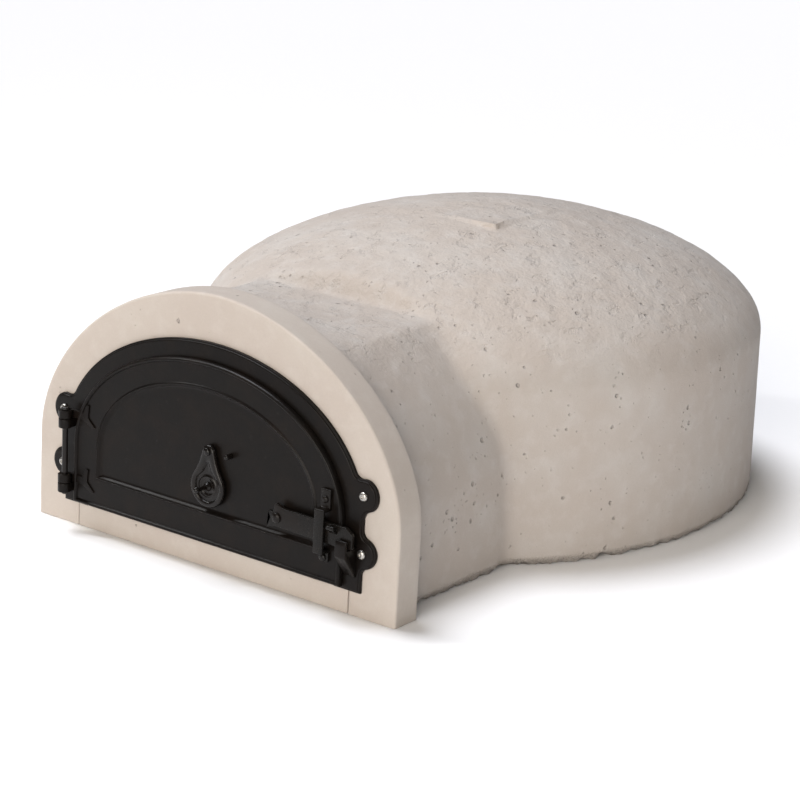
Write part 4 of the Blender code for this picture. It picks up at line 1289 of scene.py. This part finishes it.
@dataclass
class Damper:
    """The draught damper: a teardrop flap with a rounded rim and a dished face, a peg, its rivet and a stop."""

    centre: float = 0.135
    radius: float = 0.032
    small: float = 0.0120
    tip: float = 0.187            # height of the small circle
    back: float = -0.0175
    face: float = -0.0200
    front: float = -0.0240
    finish: StovePaint = field(default_factory=lambda: StovePaint(
        "stove_painted_iron_damper", black="120F0D", wear=0.2, roughness=0.26, sheen=0.26))

    def teardrop(self, radius: float, small: float, top: float) -> Array:
        """A big circle below and a small one above, joined by slightly hollow flanks, clockwise."""
        x = FLAP_PIVOT[0]
        lean = math.asin((radius - small) / (top - self.centre))
        big = circle_at((x, self.centre), radius, np.linspace(math.pi - lean, 2 * math.pi + lean, 90))
        flank = np.linspace(0.0, 1.0, 14)[1:-1, None]
        tip = circle_at((x, top), small, np.linspace(lean, math.pi - lean, 26))
        waist = 0.11 * (radius - small) * np.sin(math.pi * flank)
        up = blended(big[-1], tip[0], flank) - waist * np.array([math.cos(lean), math.sin(lean)])
        down = blended(tip[-1], big[0], flank) + waist * np.array([math.cos(lean), -math.sin(lean)])
        return np.concatenate([big, up, tip, down])[::-1]

    def flap(self) -> Patch:
        """Loops that shrink from the outer teardrop to the inner one over a half-round rim, then a dished face."""
        rows = [at_depth(self.teardrop(self.radius - 0.0006, self.small - 0.0006, self.tip), self.back),
                at_depth(self.teardrop(self.radius, self.small, self.tip), self.back - 0.0006)]
        for share in np.linspace(0.0, 1.0, 15):
            loop = self.teardrop(self.radius - 0.0095 * share, self.small - 0.0090 * share, self.tip - 0.019 * share)
            height = math.sqrt(max(1.0 - (2.0 * share - 1.0) ** 2, 0.0)) ** 0.8
            base = -0.0200 if share < 0.5 else self.face
            rows.append(at_depth(loop, base + (self.front - base) * height))
        centre = (FLAP_PIVOT[0], self.centre)
        angles = angles_about(centre, self.teardrop(self.radius - 0.0095, self.small - 0.0090, self.tip - 0.019))
        for radius, depth in ((0.0205, -0.0199), (0.0165, -0.0197), (0.0158, -0.0206), (0.0145, -0.0210),
                              (0.0132, -0.0206), (0.0125, -0.0197), (0.0080, -0.0199), (0.0040, -0.0200)):
            rows.append(at_depth(circle_at(centre, radius, angles), depth))
        return Patch(np.stack(rows), wrap_columns=True, capped=True)

    def build(self) -> None:
        """Flap and peg on the damper, rivet and stop pin on the door."""
        material = self.finish.material()
        dress(build("damper_flap_cast", [self.flap()], 60.0), "damper", "latch_iron", material, "damper_flap")
        turn = np.linspace(0.0, math.radians(143.0), 14)
        ball = [(max(0.0052 * math.sin(a), POINT), -0.0448 - 0.0052 * math.cos(a)) for a in turn]
        peg = ball + [(0.0030, -0.0385), (0.0031, -0.0300), (0.0036, -0.0265), (0.0048, -0.0240), (0.0066, -0.0222),
                      (0.0070, -0.0214), (0.0070, -0.0205), (POINT, -0.0205)]
        knob = build("damper_knob_turned", [turned((FLAP_PIVOT[0], self.centre), Axis.Y, peg, 36)])
        dress(knob, "damper", "pin_iron", material, "damper_knob")
        head = dome_head(0.0060, self.front - 0.0005, 0.0035, 0.0030, -0.0095)
        dress(build("damper_rivet_domed", [turned(FLAP_PIVOT, Axis.Y, head)]), "door", "pin_iron", material,
              "damper_rivet")
        stop = [(POINT, -0.0270), (0.0018, -0.0268), (0.0032, -0.0260), (0.0040, -0.0248), (0.0042, -0.0235),
                (0.0042, -0.0135), (0.0030, -0.0135), (0.0030, -0.0098), (0.0025, -0.0095), (POINT, -0.0095)]
        dress(build("damper_stop_pin_domed", [turned((0.050, FLAP_PIVOT[1]), Axis.Y, stop)]), "door", "pin_iron",
              material, "damper_stop_pin")


# ================================================================ studio
def toward(azimuth: float, elevation: float) -> Vector:
    """The direction at so many degrees to the right of straight in front, and over the ground."""
    side, lift = math.radians(azimuth), math.radians(elevation)
    return Vector((math.sin(side) * math.cos(lift), -math.cos(side) * math.cos(lift), math.sin(lift)))


class LampKind(Enum):
    """What a lamp is: a disc far away, or a panel close by."""

    DISC = "SUN"
    PANEL = "AREA"


@dataclass(frozen=True)
class Lamp:
    """A light that faces the middle of the oven."""

    kind: LampKind
    name: str
    azimuth: float                # degrees from straight in front, growing to the right
    elevation: float              # degrees over the ground
    strength: float               # irradiance of a disc, or watts of a panel
    size: tuple[float, ...]       # angle of a disc in degrees, or width and height of a panel
    colour: str = "FFFFFF"
    away: float = 2.6             # distance of a panel

    def add(self) -> None:
        """Puts the light in the scene."""
        ray = toward(self.azimuth, self.elevation)
        data = bpy.data.lights.new(self.name, self.kind.value)
        data.energy, data.color = self.strength, linear(self.colour)[:3]
        if self.kind is LampKind.DISC:
            data.angle = math.radians(self.size[0])
        else:
            data.shape = "RECTANGLE"
            data.size, data.size_y = self.size
        spot = Matrix.Translation(Vector((0.0, 0.0, 0.2)) + ray * self.away)
        add_object(self.name, data).matrix_world = spot @ ray.to_track_quat("Z", "Y").to_matrix().to_4x4()


@dataclass
class Studio:
    """White paper, a high wide key from the left, a broad low fill in front, two strips, and the camera."""

    azimuth: float = 36.296
    elevation: float = 16.572
    roll: float = 3.081
    distance: float = 3.7824
    lens: float = 111.46
    target: tuple[float, float, float] = (0.12255, 0.29411, 0.22671)
    sky: float = 0.05
    paper: StudioPaper = field(default_factory=StudioPaper)
    paper_depth: float = -0.0006                                # just under the oven's feet
    rings: tuple[float, ...] = (0.001, 1.0, 4.0, 20.0, 80.0)    # radii of the paper's points
    spokes: int = 96
    lamps: tuple[Lamp, ...] = (
        Lamp(LampKind.DISC, "key_sun", -95.0, 69.0, 2.62, (26.0,), "F6F8FF"),
        Lamp(LampKind.DISC, "front_fill", 16.0, 12.0, 3.20, (55.0,), "FFF7EE"),
        Lamp(LampKind.PANEL, "left_strip", -58.0, 40.0, 16.0, (0.12, 0.45)),
        Lamp(LampKind.PANEL, "right_strip", 72.0, 34.0, 3.4, (0.07, 0.32)))

    def camera(self) -> None:
        """A camera that looks back along its azimuth and elevation, turned by the roll."""
        side, roll = math.radians(self.azimuth), math.radians(self.roll)
        back = toward(self.azimuth, self.elevation)
        right = Vector((math.cos(side), math.sin(side), 0.0))
        up = back.cross(right)
        across = math.cos(roll) * right + math.sin(roll) * up
        tall = math.cos(roll) * up - math.sin(roll) * right
        target = Vector(self.target) + Vector((0.0, FRONT_FACE, 0.0))
        data = bpy.data.cameras.new("studio_camera")
        data.lens, data.sensor_width, data.sensor_fit = self.lens, 36.0, "HORIZONTAL"
        camera = add_object("studio_camera", data)
        camera.matrix_world = Matrix.Translation(target + back * self.distance) @ Matrix(
            (across, tall, back)).transposed().to_4x4()
        bpy.context.scene.camera = camera

    def floor(self) -> None:
        """The paper as a wide disc of rings under the oven."""
        turn = np.linspace(0.0, 2 * math.pi, self.spokes, endpoint=False)
        radii = np.array(self.rings)[:, None]
        flat = np.full((len(self.rings), self.spokes), self.paper_depth)
        disc = np.stack([radii * np.cos(turn), radii * np.sin(turn), flat], axis=-1)
        quads, _ = Patch(disc, wrap_columns=True).faces(0)
        mesh = bpy.data.meshes.new("studio_floor")
        mesh.from_pydata(disc.reshape(-1, 3).tolist(), [], [list(range(self.spokes))] + quads.tolist())
        mesh.update()
        mesh.materials.append(self.paper.material())
        add_object("studio_floor", mesh)

    def build(self) -> None:
        """Floor, sky, lights and camera."""
        self.floor()
        world = bpy.data.worlds.new("studio_sky")
        world.use_nodes = True
        connect(world.node_tree, world.node_tree.nodes["Background"],
                {"Color": (1.0, 1.0, 1.0, 1.0), "Strength": self.sky})
        bpy.context.scene.world = world
        bpy.context.scene.view_settings.view_transform = "Standard"
        for lamp in self.lamps:
            lamp.add()
        self.camera()


def main() -> None:
    """Builds the studio and every sub-assembly."""
    logging.basicConfig(level=logging.INFO, format="%(name)s %(message)s", stream=sys.stdout)
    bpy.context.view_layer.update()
    Studio().build()
    for assembly in (Shell(), Arch(), Hearth(), DoorFrame(), DoorLeaf(), Latch(), Damper()):
        LOG.info("building %s", type(assembly).__name__)
        assembly.build()


if __name__ == "__main__":
    main()
